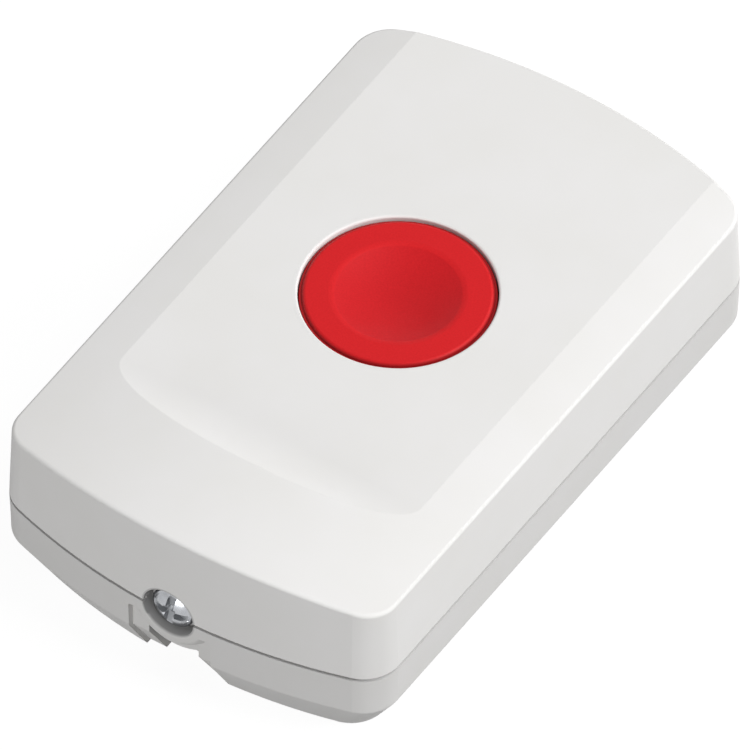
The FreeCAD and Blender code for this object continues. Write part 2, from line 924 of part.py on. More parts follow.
def board_screws():
    """Four small pan-head screws that hold the board on its pillars."""
    screws = []
    high = board_top + board_screw_head_height
    for x, y in board_screw_spots():
        shank = rod(board_screw_radius, x, y, board_top - board_screw_length, board_top + 0.1)
        head = round_top(rod(board_screw_head_radius, x, y, board_top, high), board_screw_edge)
        for angle in (20, 110):
            slot = block_at(x, y, board_screw_slot_length, board_screw_slot_width,
                            high - 0.8, high + 1.0)
            head = head.cut(turned(slot, x, y, angle))
        screws.append(head.fuse(shank).removeSplitter())
    return Part.makeCompound(screws)


def battery_cell():
    """Cylindrical cell lying across the width, button end to the right."""
    half = cell_length / 2.0
    can_end = half - cell_button_height
    can = rod_x(cell_radius, -half, can_end)
    can = can.makeFillet(cell_edge_round, edges_where(can, lambda e: e.BoundBox.XLength < 0.01))
    button = rod_x(cell_button_radius, can_end - 0.1, half)
    face = edges_where(button, lambda e: e.BoundBox.XMin > half - 0.01)
    return can.fuse(button.makeFillet(cell_button_round, face)).removeSplitter()


def plus_leg_x():
    """Middle of the plus contact's legs, at the end of its foot."""
    return plus_contact_x + contact_thickness + contact_foot - contact_leg_x


def minus_leg_x():
    """Middle of the minus plate's legs, under the plate."""
    return minus_plate_x - contact_thickness / 2.0


def contact_leg_spots():
    """Where the contacts' legs pass through the board."""
    rows = (cell_y - contact_leg_y, cell_y + contact_leg_y)
    return [(x, y) for x in (plus_leg_x(), minus_leg_x()) for y in rows]


def contact_legs(x):
    """Two short legs through the board under a contact."""
    low = board_bottom - pin_length
    rows = (cell_y - contact_leg_y, cell_y + contact_leg_y)
    half = contact_thickness / 2.0
    return [block_at(x, y, half, contact_leg_half_width, low, board_top + 0.1) for y in rows]


def contact_plate(x0, x1):
    """Upright contact plate with rounded upper corners."""
    plate = box(x0, x1, cell_y - contact_half_width, cell_y + contact_half_width, board_top, contact_top)
    high = contact_top - 0.01
    corners = edges_where(plate, lambda e: e.BoundBox.XLength > 0.1 and e.BoundBox.ZMin > high)
    return plate.makeFillet(contact_corner, corners)


def contact_sole(x0, x1):
    """Foot of a contact, flat on the board."""
    return box(x0, x1, cell_y - contact_half_width, cell_y + contact_half_width,
               board_top, board_top + contact_thickness)


def battery_plus_contact():
    """Bent plate at the button end, with a round boss that touches the cell."""
    x0 = plus_contact_x
    x1 = x0 + contact_thickness
    touch = cell_length / 2.0
    boss = Part.makeCone(contact_boss_radius, contact_boss_root, x0 - touch,
                         Vector(touch, cell_y, cell_height), Vector(1, 0, 0))
    stub = rod_x(contact_boss_root, x0, x0 + contact_thickness / 2.0)
    sole = contact_sole(x0, x1 + contact_foot)
    parts = [sole, boss, stub] + contact_legs(plus_leg_x())
    return contact_plate(x0, x1).fuse(parts).removeSplitter()


def battery_minus_plate():
    """Upright plate at the flat end that carries the coil spring."""
    x0 = minus_plate_x - contact_thickness
    sole = contact_sole(x0, minus_plate_x + contact_foot - contact_leg_x)
    return contact_plate(x0, minus_plate_x).fuse([sole] + contact_legs(minus_leg_x())).removeSplitter()


def coil(radius, pitch, height, wire_radius, centre, axis):
    """Round wire wound into a helix that starts at centre and climbs along axis."""
    path = Part.makeHelix(pitch, height, radius)
    section = Part.Wire(Part.makeCircle(wire_radius, Vector(radius, 0, 0), Vector(0, 1, 0)))
    wound = Part.Wire(path.Edges).makePipeShell([section], True, True)
    wound.Placement = FreeCAD.Placement(centre, FreeCAD.Rotation(Vector(0, 0, 1), axis))
    return wound


def battery_minus_spring():
    """Coil spring between the minus plate and the cell's flat end."""
    touch = 0.01
    height = minus_reach - 2.0 * spring_wire_radius - 2.0 * touch
    start = Vector(minus_plate_x + spring_wire_radius + touch, cell_y, cell_height)
    pitch = height / spring_turns
    return coil(spring_radius, pitch, height, spring_wire_radius, start, Vector(1, 0, 0))


def cell_foam_pad():
    """Foam strip between the cell and the cover."""
    return block_at(0, cell_y, pad_length / 2.0, pad_width / 2.0, cell_height + cell_radius, ceiling_height)


def pin_spots(x, y, half, pin_y):
    """Pins of a square switch, two beside each of its sides."""
    reach = half + switch_pin_gap
    return [(x + side, y + row) for side in (-reach, reach) for row in (-pin_y, pin_y)]


def switch_pin_spots():
    """Pins of the push-button switch."""
    return pin_spots(0.0, button_y, switch_half_width, switch_pin_y)


def tamper_pin_spots():
    """Pins of the tamper switch."""
    return pin_spots(tamper_x, tamper_y, tamper_half_width, tamper_pin_y)


def header_pin_spots():
    """Pins of the mode header."""
    return [(header_x, header_y - lead_pair / 2.0), (header_x, header_y + lead_pair / 2.0)]


def lamp_lead_spots():
    """Leads of the indicator lamp."""
    return [(lamp_x - lead_pair / 2.0, lamp_y), (lamp_x + lead_pair / 2.0, lamp_y)]


def switch_base(x, y, half, height, well_radius_, well_depth_):
    """Moulded body of a square switch with bevelled corners and a well for its stem."""
    top = board_top + height
    body = block_at(x, y, half, half, board_top, top)
    corners = edges_where(body, lambda e: e.BoundBox.ZLength > height - 0.01)
    body = body.makeChamfer(half * 0.1, corners)
    return body.cut(rod(well_radius_, x, y, top - well_depth_, top + 1.0))


def switch_top(x, y, half, height, hole):
    """Pressed frame on a switch body: a plate with a hole and two folded sides."""
    low = board_top + height
    high = low + switch_frame_thickness
    plate = block_at(x, y, half, half, low, high)
    lean = switch_frame_thickness / 2.0
    folds = []
    for side in (-1, 1):
        middle = y + side * (half + lean)
        folds.append(block_at(x, middle, half * 0.6, lean, board_top + switch_fold_foot, high))
    return plate.fuse(folds).cut(rod(hole, x, y, low - 1.0, high + 1.0)).removeSplitter()


def stem(radius, x, y, low, high, collar):
    """Round switch stem on a wider collar that stays under the frame."""
    body = round_top(rod(radius, x, y, low, high), switch_plunger_edge)
    return body.fuse(rod(radius + collar, x, y, low, low + switch_collar_height)).removeSplitter()


def pins(spots):
    """Flat pins that run down beside a switch body and through the board."""
    low = board_bottom - pin_length
    high = board_top + pin_length - pin_thickness
    half_x = pin_thickness / 2.0
    half_y = pin_width / 2.0
    return Part.makeCompound([block_at(x, y, half_x, half_y, low, high) for x, y in spots])


def switch_body():
    """Body of the push-button switch, with room for the stem's collar and its travel."""
    room = switch_plunger_radius + switch_collar + switch_play
    return switch_base(0, button_y, switch_half_width, switch_body_height, room, switch_well_depth)


def switch_frame():
    """Steel frame of the push-button switch."""
    hole = switch_plunger_radius + switch_play
    return switch_top(0, button_y, switch_half_width, switch_body_height, hole)


def switch_plunger():
    """Moving stem of the push-button switch."""
    low = board_top + switch_body_height - switch_collar_height - stop_gap
    return stem(switch_plunger_radius, 0, button_y, low, switch_plunger_top, switch_collar)


def tamper_switch_body():
    """Body of the tamper switch."""
    room = tamper_plunger_radius + tamper_collar + tamper_play
    return switch_base(tamper_x, tamper_y, tamper_half_width, tamper_body_height, room, tamper_well_depth)


def tamper_switch_frame():
    """Steel frame of the tamper switch."""
    hole = tamper_plunger_radius + tamper_play
    return switch_top(tamper_x, tamper_y, tamper_half_width, tamper_body_height, hole)


def tamper_switch_plunger():
    """Long stem of the tamper switch, pressed by the cover's post."""
    low = board_top + tamper_body_height - tamper_well_depth
    return stem(tamper_plunger_radius, tamper_x, tamper_y, low, tamper_plunger_top, tamper_collar)


def radio_board():
    """Small radio board with half-round solder notches on two edges."""
    high = board_top + radio_thickness
    board = box(radio_x, radio_x + radio_width, radio_y, radio_y + radio_length, board_top, high)
    count = int((radio_width - radio_notch_start) / radio_notch_pitch) + 1
    notches = []
    for step in range(count):
        x = radio_x + radio_notch_start + radio_notch_pitch * step
        for y in (radio_y, radio_y + radio_length):
            notches.append(rod(radio_notch_radius, x, y, board_top - 1.0, high + 1.0))
    return board.cut(notches)


def radio_chip():
    """Chip under the shield."""
    low = board_top + radio_thickness
    middle_x = radio_x + radio_width / 2.0
    middle_y = radio_y + radio_length / 2.0
    half = radio_chip_size / 2.0
    return block_at(middle_x, middle_y, half, half, low, low + radio_chip_height)


def radio_shield():
    """Folded sheet can, open underneath."""
    low = board_top + radio_thickness
    high = low + shield_height
    middle_x = radio_x + radio_width / 2.0
    middle_y = radio_y + radio_length / 2.0
    half_x = radio_width / 2.0 - shield_border
    half_y = radio_length / 2.0 - shield_border
    can = block_at(middle_x, middle_y, half_x, half_y, low, high)
    corners = edges_where(can, lambda e: e.BoundBox.ZMax > low + 0.01)
    can = can.makeFillet(shield_corner, corners)
    hollow = block_at(middle_x, middle_y, half_x - shield_sheet, half_y - shield_sheet,
                      low - 1.0, high - shield_sheet)
    return can.cut(hollow)


def antenna_coil():
    """Helical aerial along the right side of the board, with a straight foot."""
    start = Vector(aerial_x, aerial_y, aerial_height)
    wound = coil(aerial_radius, aerial_pitch, aerial_pitch * aerial_turns, aerial_wire_radius,
                 start, Vector(0, 1, 0))
    foot = rod(aerial_wire_radius, aerial_x + aerial_radius, aerial_y, board_top, aerial_height)
    return wound.fuse(foot)


def processor_body():
    """Chip body with a bevelled top and a shallow dot in one corner."""
    high = board_top + processor_height
    body = block_at(0, processor_y, processor_length / 2.0, processor_width / 2.0,
                    board_top + processor_lift, high)
    body = bevel_top(body, processor_bevel)
    dot_x = -processor_length / 2.0 + 2.4 * processor_dot
    dot_y = processor_y - processor_width / 2.0 + 2.4 * processor_dot
    return body.cut(rod(processor_dot, dot_x, dot_y, high - 0.1, high + 1.0))


def processor_leads():
    """Gull-wing leads along both long sides."""
    count = int((processor_length - lead_reach) / lead_pitch) + 1
    start = -lead_pitch * (count - 1) / 2.0
    shoulder = board_top + processor_height / 2.0
    foot = board_top + lead_thickness
    leads = []
    for side in (-1, 1):
        edge_y = processor_y + side * processor_width / 2.0
        knee = edge_y + side * lead_reach * 0.41
        heel = edge_y + side * lead_reach * 0.23
        toe = edge_y + side * lead_reach
        profile = [
            (edge_y, shoulder + lead_thickness),
            (knee, shoulder + lead_thickness),
            (knee + side * lead_thickness, foot),
            (toe, foot),
            (toe, board_top),
            (knee, board_top),
            (heel, shoulder),
            (edge_y, shoulder),
        ]
        for step in range(count):
            x = start + lead_pitch * step
            leads.append(prism_x(profile, x - lead_width / 2.0, x + lead_width / 2.0))
    return Part.makeCompound(leads)


def stadium(x, y, half, radius, z0, z1):
    """Upright block with two half-round ends."""
    middle = block_at(x, y, half, radius, z0, z1)
    ends = [rod(radius, x - half, y, z0, z1), rod(radius, x + half, y, z0, z1)]
    return middle.fuse(ends).removeSplitter()


def crystal_can():
    """Quartz crystal: long rounded can on a thin flange."""
    high = board_top + crystal_height
    can = stadium(crystal_x, crystal_y, crystal_half_length, crystal_radius, board_top, high)
    flange = stadium(crystal_x, crystal_y, crystal_half_length, crystal_radius + crystal_flange,
                     board_top, board_top + crystal_flange)
    return round_top(can, crystal_edge_round).fuse(flange).removeSplitter()


def reservoir_capacitor():
    """Round can with a rolled top edge and a waist near its foot."""
    low = board_top + capacitor_foot
    can = rod(capacitor_radius, capacitor_x, capacitor_y, low, low + capacitor_height)
    can = round_top(can, capacitor_edge_round)
    ring = rod(capacitor_radius + 1.0, capacitor_x, capacitor_y, low + capacitor_waist_low,
               low + capacitor_waist_high)
    waist = rod(capacitor_radius - capacitor_waist, capacitor_x, capacitor_y, low,
                low + capacitor_height)
    return can.cut(ring.cut(waist))


def capacitor_base():
    """Square foot with two cut corners."""
    half = capacitor_foot_half
    base = block_at(capacitor_x, capacitor_y, half, half, board_top, board_top + capacitor_foot)
    upright = capacitor_foot - 0.1
    corners = edges_where(base, lambda e: e.BoundBox.ZLength > upright and e.BoundBox.YMin > capacitor_y)
    return base.makeChamfer(capacitor_foot_cut, corners)


def chip_parts():
    """Chip resistors and capacitors in one row and one column."""
    high = board_top + chip_height
    parts = []
    for step in range(4):
        x = chip_row_x + chip_pitch * step
        parts.append(box(x, x + chip_size, chip_row_y, chip_row_y + chip_width, board_top, high))
    for step in range(4):
        y = chip_column_y + chip_pitch * step
        parts.append(box(chip_column_x, chip_column_x + chip_width, y, y + chip_size, board_top, high))
    for step in range(2):
        x = radio_x + radio_width / 2.0 - chip_pitch + chip_pitch * step
        parts.append(box(x, x + chip_size, chip_row_y, chip_row_y + chip_width, board_top, high))
    return Part.makeCompound(parts)


def indicator_led():
    """Domed lamp on a thin collar."""
    high = board_top + lamp_height
    body = rod(lamp_radius, lamp_x, lamp_y, board_top, high)
    dome = Part.makeSphere(lamp_radius, Vector(lamp_x, lamp_y, high))
    collar = rod(lamp_collar_radius, lamp_x, lamp_y, board_top, board_top + lamp_collar_height)
    return body.fuse([dome, collar]).removeSplitter()


def led_leads():
    """Two square wires under the lamp."""
    half = lamp_lead / 2.0
    low = board_bottom - pin_length
    spots = lamp_lead_spots()
    return Part.makeCompound([block_at(x, y, half, half, low, board_top) for x, y in spots])


def header_holes(low, high):
    """Square holes for the header's pins."""
    half = header_pin / 2.0 + header_fit
    return [block_at(x, y, half, half, low, high) for x, y in header_pin_spots()]


def header_block():
    """Plastic block of the two-pin header."""
    block = block_at(header_x, header_y, lead_pair / 2.0, lead_pair, board_top, board_top + header_height)
    return block.cut(header_holes(board_top - 1.0, board_top + header_height + 1.0))


def header_pins():
    """Two square pins through block and board."""
    half = header_pin / 2.0
    low = board_bottom - pin_length
    high = board_top + header_pin_height
    spots = header_pin_spots()
    return Part.makeCompound([block_at(x, y, half, half, low, high) for x, y in spots])


def jumper_cap():
    """Push-on jumper that bridges the two pins."""
    low = board_top + header_height
    cap = block_at(header_x, header_y, lead_pair / 2.0 - 0.07, lead_pair - 0.04, low, low + jumper_height)
    cap = bevel_top(cap, jumper_bevel)
    return cap.cut(header_holes(board_top, board_top + header_pin_height + 0.2))


def save(node, shape):
    """Writes one piece and prints its check values."""
    solids = len(shape.Solids)
    print(f"{node}: {solids} solid(s), valid {shape.isValid()}, volume {shape.Volume:.1f} mm3")
    shape.exportStep(f"parts/{node}.step")


makers = [
    front_cover, rear_housing, button_cap, closing_screw, threaded_insert, circuit_board,
    board_screws, battery_cell, battery_plus_contact, battery_minus_plate, battery_minus_spring,
    cell_foam_pad, switch_body, switch_frame, switch_plunger, tamper_switch_body,
    tamper_switch_frame, tamper_switch_plunger, radio_board, radio_chip, radio_shield,
    antenna_coil, processor_body, processor_leads, crystal_can, reservoir_capacitor,
    capacitor_base, chip_parts, indicator_led, led_leads, header_block, header_pins, jumper_cap,
]

for make in makers:
    save(make.__name__, make())

save("switch_pins", pins(switch_pin_spots()))
save("tamper_switch_pins", pins(tamper_pin_spots()))
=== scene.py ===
# %% [markdown]
# # A wireless panic button
#
# A small two-part plastic housing with one large red push button, closed by a single
# cross-recess screw at its front end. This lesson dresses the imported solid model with
# materials, swaps the screws for finer surfaces, adds three small rings that catch the eye in
# the photograph, and then lights and frames the scene.
#
# Everything is in metres, in the frame of the solid model: the flat back lies on Z = 0, +Y runs
# along the length away from the closing screw, and +X runs across the width.

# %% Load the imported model
import math

import bpy
import numpy as np
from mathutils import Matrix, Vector


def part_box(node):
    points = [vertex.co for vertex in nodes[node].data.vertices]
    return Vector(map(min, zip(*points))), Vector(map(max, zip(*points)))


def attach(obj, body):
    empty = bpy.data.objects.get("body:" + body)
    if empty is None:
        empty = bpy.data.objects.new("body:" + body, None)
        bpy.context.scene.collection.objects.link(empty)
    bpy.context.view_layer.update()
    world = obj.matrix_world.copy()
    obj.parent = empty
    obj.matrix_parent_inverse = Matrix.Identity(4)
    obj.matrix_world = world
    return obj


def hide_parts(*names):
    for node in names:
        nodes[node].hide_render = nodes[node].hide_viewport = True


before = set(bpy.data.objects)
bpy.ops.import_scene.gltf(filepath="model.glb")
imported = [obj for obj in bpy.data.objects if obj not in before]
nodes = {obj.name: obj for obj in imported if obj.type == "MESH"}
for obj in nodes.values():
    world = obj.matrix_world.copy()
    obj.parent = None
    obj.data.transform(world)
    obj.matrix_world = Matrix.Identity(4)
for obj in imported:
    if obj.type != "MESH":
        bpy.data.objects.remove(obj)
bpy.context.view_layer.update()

# %% [markdown]
# ## Lengths and colours as a maker gives them
#
# Drawings give millimetres and paint charts give display colours, while Blender wants metres and
# linear light. Two small helpers turn one into the other, so that every number below can be read
# as it would stand on a drawing.

# %% Units and colours
MM = 0.001


def linear(red, green, blue):
    """Display colour 0-255 to linear light: divide by 255, then undo the display curve."""
    value = np.array([red, green, blue]) / 255.0
    low = value / 12.92
    high = ((value + 0.055) / 1.055) ** 2.4
    return (*np.where(value <= 0.04045, low, high).tolist(), 1.0)


def corner_mm(node):
    """Lowest and highest corner of a CAD node in millimetres."""
    low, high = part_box(node)
    return np.array(low) / MM, np.array(high) / MM


print("white plastic in linear light:", np.round(linear(232, 231, 229), 3))

# %% [markdown]
# ## A node tree in a few lines
#
# A procedural material is a tree of nodes. Each moulded, plated or printed finish here starts the
# same way: a Principled shader, a position on the object, and noise at one or two real scales.
# The helper below makes that start, and each finish then adds what its own surface shows.
# Patterns read Object coordinates, so they stay put on a piece when it moves.

# %% Helpers for node materials


class Finish:
    """One node material: a Principled shader with noise, bump and colour patterns joined to it."""

    def __init__(self, name, colour, roughness, metallic=0.0, **sockets):
        self.material = bpy.data.materials.new(name)
        self.material.use_nodes = True
        self.tree = self.material.node_tree
        self.shader = self.tree.nodes["Principled BSDF"]
        self.colour = linear(*colour)
        self.set("Base Color", self.colour)
        self.set("Roughness", roughness)
        self.set("Metallic", metallic)
        for socket, value in sockets.items():
            self.set(socket.replace("_", " "), value)
        self.place = self.add("ShaderNodeTexCoord").outputs["Object"]
        self.material.diffuse_color = self.colour

    def set(self, socket, value):
        """Writes a constant straight on the shader's own socket."""
        self.shader.inputs[socket].default_value = value

    def add(self, kind, **settings):
        """Adds a node; settings that name a socket are written to it, others to the node."""
        node = self.tree.nodes.new(kind)
        for key, value in settings.items():
            label = key.replace("_", " ")
            if label in node.inputs:
                node.inputs[label].default_value = value
            else:
                setattr(node, key, value)
        return node

    def join(self, out, target):
        """Links an output to an input."""
        self.tree.links.new(out, target)

    def noise(self, size, detail=2.0, roughness=0.5):
        """Noise whose blotches are about size millimetres across."""
        node = self.add("ShaderNodeTexNoise", Scale=1.0 / (size * MM), Detail=detail)
        node.inputs["Roughness"].default_value = roughness
        self.join(self.place, node.inputs["Vector"])
        return node.outputs["Fac"]

    def span(self, value, low, high, start=0.3, end=0.7):
        """Stretches a value between start and end over low to high."""
        node = self.add("ShaderNodeMapRange")
        self.join(value, node.inputs["Value"])
        node.inputs["From Min"].default_value = start
        node.inputs["From Max"].default_value = end
        node.inputs["To Min"].default_value = low
        node.inputs["To Max"].default_value = high
        return node.outputs["Result"]

    def math(self, operation, first, second=None):
        """One arithmetic step between outputs or numbers."""
        node = self.add("ShaderNodeMath", operation=operation)
        for value, target in ((first, node.inputs[0]), (second, node.inputs[1])):
            if isinstance(value, (int, float)):
                target.default_value = value
            elif value is not None:
                self.join(value, target)
        return node.outputs[0]

    def axis(self, name):
        """One coordinate of the place on the object, in metres."""
        node = self.add("ShaderNodeSeparateXYZ")
        self.join(self.place, node.inputs[0])
        return node.outputs[name]

    def mix(self, share, first, second):
        """Colour between two colours or outputs, by a share from 0 to 1."""
        node = self.add("ShaderNodeMix", data_type="RGBA")
        self.join(share, node.inputs["Factor"])
        for value, target in ((first, node.inputs[6]), (second, node.inputs[7])):
            if isinstance(value, tuple):
                target.default_value = value
            else:
                self.join(value, target)
        return node.outputs[2]

    def tint(self, size, first, second, detail=2.0):
        """Cloudy change of the base colour between two display colours."""
        share = self.span(self.noise(size, detail), 0.0, 1.0)
        colour = self.mix(share, linear(*first), linear(*second))
        self.join(colour, self.shader.inputs["Base Color"])
        return colour

    def sheen_map(self, size, low, high, detail=2.0):
        """Roughness that wanders between two values."""
        self.join(self.span(self.noise(size, detail), low, high), self.shader.inputs["Roughness"])

    def bump(self, height, depth, strength=1.0, after=None):
        """Small relief: height runs 0 to 1 over depth millimetres."""
        node = self.add("ShaderNodeBump", Strength=strength, Distance=depth * MM)
        self.join(height, node.inputs["Height"])
        if after is not None:
            self.join(after, node.inputs["Normal"])
        self.join(node.outputs["Normal"], self.shader.inputs["Normal"])
        return node.outputs["Normal"]

    def wear(self, *names):
        """Gives this finish to CAD nodes, whose meshes stay as they are."""
        for name in names:
            materials = nodes[name].data.materials
            materials.clear()
            materials.append(self.material)


print("helpers ready")

# %% [markdown]
# ## The two white mouldings
#
# Cover and base are injection-moulded white plastic. The mould was finely spark-eroded, so the
# skin is satin: soft reflections, no mirror, and a grain of about a third of a millimetre that
# only shows in a glancing light. A real moulding also has faint clouds in its gloss, where the
# plastic met the cold mould, and these matter more to the eye than any change of colour. The
# base is given a slightly darker white than the cover, as painted shade. The parting groove and
# the well of the screw are painted darker, as painted shade: two masks find them by their place,
# one by the height above the back and one by the distance from the screw's line.

# %% White plastic for cover and base
screw_low, screw_high = corner_mm("closing_screw")
parting_mm = float(screw_low[2] + screw_high[2]) / 2.0
groove_half_mm = 0.27
well_wall_mm, well_lip_mm = 3.38, 3.6  # the painted shade of the well fades out between these radii
groove_shade_share, well_shade_share = 0.88, 0.6  # share of the plastic's colour left under the painted shade of groove and well


def dimmed(colour, share):
    """A display colour in linear light, with only a share of it left."""
    return tuple(part * share for part in linear(*colour)[:3]) + (1.0,)


def painted_well_shade(skin):
    """Share of painted shade, from 1 on the wall of the screw's well to 0 outside its lip."""
    across = skin.math("POWER", skin.axis("X"), 2.0)
    above = skin.math("SUBTRACT", skin.axis("Z"), parting_mm * MM)
    distance = skin.math("SQRT", skin.math("ADD", across, skin.math("POWER", above, 2.0)))
    near = skin.span(distance, 1.0, 0.0, well_wall_mm * MM, well_lip_mm * MM)
    return skin.math("MULTIPLY", near, skin.math("LESS_THAN", skin.axis("Y"), screw_high[1] * MM))


def white_plastic(name, light, dark, gloss):
    """Satin moulded plastic: cloudy tint and gloss, fine grain, and painted shade that darkens the
    parting groove and the screw's well."""
    skin = Finish(name, light, gloss, IOR=1.5, Specular_IOR_Level=0.06)
    colour = skin.tint(9.0, light, dark)
    # painted shade: the colour is darkened in the parting groove and in the screw's well
    from_seam = skin.math("ABSOLUTE", skin.math("SUBTRACT", skin.axis("Z"), parting_mm * MM))
    groove_shade_mask = skin.math("LESS_THAN", from_seam, groove_half_mm * MM)
    colour = skin.mix(groove_shade_mask, colour, dimmed(light, groove_shade_share))
    colour = skin.mix(painted_well_shade(skin), colour, dimmed(light, well_shade_share))
    skin.join(colour, skin.shader.inputs["Base Color"])
    skin.sheen_map(5.0, gloss - 0.03, gloss + 0.05)
    coarse = skin.bump(skin.noise(0.9, 3.0), 0.004, 0.3)
    skin.bump(skin.noise(0.3, 2.0), 0.0025, 0.35, after=coarse)
    return skin


cover_plastic = white_plastic("cover_plastic", (235, 234, 233), (233, 232, 230), 0.5)
# the base's white is a little darker than the cover's: painted shade
base_plastic = white_plastic("base_plastic", (226, 225, 224), (224, 223, 221), 0.52)
cover_plastic.wear("front_cover")
base_plastic.wear("rear_housing")
print("parting line above the back, mm:", round(parting_mm, 2))

# %% [markdown]
# ## The red button
#
# The cap is moulded in a deep signal red with a matt touch surface. Close up, the photographed
# face shows a fine sand-like grain, finer than a quarter of a millimetre, that scatters the
# light in the dish. Noise of that size drives a shallow bump and a slight change of colour. The
# dish is painted a darker red than the flat ring round it, as painted shade, the rim rolls over
# softly, and the step below it and the ledge outside it are painted darker red, as painted shade:
# all of them follow the distance from the middle of the cap.

# %% Red cap
cap_low, cap_high = corner_mm("button_cap")
cap_middle = (cap_low + cap_high) / 2.0
button_red = Finish("button_red", (212, 28, 32), 0.5, IOR=1.48, Specular_IOR_Level=0.18)
across = button_red.math("POWER", button_red.axis("X"), 2.0)
along = button_red.math("SUBTRACT", button_red.axis("Y"), float(cap_middle[1]) * MM)
square = button_red.math("ADD", across, button_red.math("POWER", along, 2.0))
from_middle = button_red.math("SQRT", square)


def within(start_mm, end_mm):
    """Share that falls from 1 to 0 between two distances from the cap's middle."""
    return button_red.span(from_middle, 1.0, 0.0, start_mm * MM, end_mm * MM)


face_red = button_red.tint(0.22, (217, 31, 36), (208, 26, 31), detail=4.0)
# painted shade: the dish, the step below the face and the ledge get darker reds than the face
dish_shade_red = button_red.tint(0.2, (208, 28, 34), (197, 22, 29), detail=4.0)
step_shade_red, ledge_shade_red = linear(150, 20, 24), linear(178, 29, 32)
cap_red = button_red.mix(within(7.0, 7.2), face_red, dish_shade_red)
cap_red = button_red.mix(within(10.46, 10.74), step_shade_red, cap_red)
cap_red = button_red.mix(within(10.8, 10.88), ledge_shade_red, cap_red)
button_red.join(cap_red, button_red.shader.inputs["Base Color"])
button_red.sheen_map(3.0, 0.46, 0.56)
rolled = button_red.bump(within(10.3, 10.8), 0.09, 1.0)
button_red.bump(button_red.noise(0.16, 3.0), 0.009, 0.6, after=rolled)
button_red.wear("button_cap")
print("red cap spans, mm:", np.round(corner_mm("button_cap"), 2).tolist())

# %% [markdown]
# ## Metals
#
# Sheet is rolled and wire is drawn, so their fine lines run straight. Noise squeezed along one
# axis makes such lines, and it drives the roughness and a shallow relief. The screws get a steel
# of their own further down, because their lines run in rings.

# %% Metal finishes


def rolled_metal(name, colour, roughness, squeeze, line=0.25):
    """Sheet or wire: noise squeezed along one axis makes fine lines in roughness and relief."""
    metal = Finish(name, colour, roughness, metallic=1.0)
    place = metal.add("ShaderNodeMapping", Scale=squeeze)
    metal.join(metal.place, place.inputs["Vector"])
    lines = metal.add("ShaderNodeTexNoise", Scale=1.0 / (line * MM), Detail=3.0)
    metal.join(place.outputs["Vector"], lines.inputs["Vector"])
    rough = metal.span(lines.outputs["Fac"], roughness * 0.8, roughness * 1.3)
    metal.join(rough, metal.shader.inputs["Roughness"])
    metal.tint(1.5, colour, tuple(int(c * 0.93) for c in colour))
    metal.bump(lines.outputs["Fac"], 0.0012, 0.3)
    return metal


squeeze_x, squeeze_y, squeeze_z = (6.0, 1.0, 1.0), (1.0, 14.0, 1.0), (1.0, 1.0, 9.0)
metals = (
    ("insert_brass", (212, 178, 104), 0.28, squeeze_y, ["threaded_insert"]),
    ("plated_steel", (198, 199, 201), 0.25, squeeze_y,
     ["battery_plus_contact", "battery_minus_plate", "switch_frame", "tamper_switch_frame"]),
    ("spring_steel", (176, 176, 180), 0.22, squeeze_x, ["battery_minus_spring"]),
    ("shield_tin", (206, 207, 206), 0.32, squeeze_y, ["radio_shield", "crystal_can"]),
    ("aerial_copper", (205, 142, 104), 0.24, squeeze_y, ["antenna_coil"]),
    ("can_aluminium", (210, 212, 215), 0.3, squeeze_z, ["reservoir_capacitor"]),
    ("tinned_wire", (205, 205, 204), 0.3, squeeze_y,
     ["processor_leads", "led_leads", "header_pins", "switch_pins", "tamper_switch_pins"]),
)
for name, colour, roughness, squeeze, wearers in metals:
    rolled_metal(name, colour, roughness, squeeze).wear(*wearers)
print("metal finishes:", len(metals), "on nodes:", sum(len(row[-1]) for row in metals))

# %% [markdown]
# ## Surfaces made of numbers
#
# A mesh is an array of points and an array of faces. A grid of points is joined by four-sided
# faces, and a grid that closes on itself, like a ring, joins its last column to its first. The
# two helpers below do the joining and make the object.

# %% Helpers for surfaces


def grid_faces(rows, columns, close_columns=False):
    """Quads of a grid of points, as index arrays; closed columns join the last to the first."""
    i, j = np.meshgrid(np.arange(rows - 1), np.arange(columns if close_columns else columns - 1),
                       indexing="ij")
    after = (j + 1) % columns
    quads = np.stack([i * columns + j, (i + 1) * columns + j, (i + 1) * columns + after,
                      i * columns + after], axis=-1)
    return quads.reshape(-1, 4)


def mesh_object(name, points, faces, sharp_above=None):
    """A mesh object in metres; it is flat, or smooth with the edges sharper than an angle kept."""
    mesh = bpy.data.meshes.new(name)
    mesh.from_pydata(points.reshape(-1, 3).tolist(), [], faces)
    mesh.validate()
    if sharp_above is None:
        mesh.shade_flat()
    else:
        mesh.shade_smooth()
        mesh.set_sharp_from_angle(angle=math.radians(sharp_above))
    piece = bpy.data.objects.new(name, mesh)
    bpy.context.scene.collection.objects.link(piece)
    return piece


print("surface helpers ready")

# %% [markdown]
# ## Screws
#
# A pan-head screw is cold-formed: a punch presses the dome and the cross into wire, and rolling
# dies press the thread. So the cross has drafted walls, sloping wing ends, a floor that falls
# towards the middle and small facets between the wings. A square grid carries the head: its
# lines are laid along the edges of the cross, where the walls must be crisp, and its outer part
# bends into the round rim. From the rim on, rings of points run down to the tip, and the thread
# is a ridge whose phase turns once with every pitch.

# %% Head of a screw
shoulder = 0.87  # share of the head's radius where the dome turns over into the rim
hair = 1e-6  # mm, so that a point on an edge falls on one sure side of it
pressed_in = 0.03  # mm below the dome from which on a point counts as in the cross


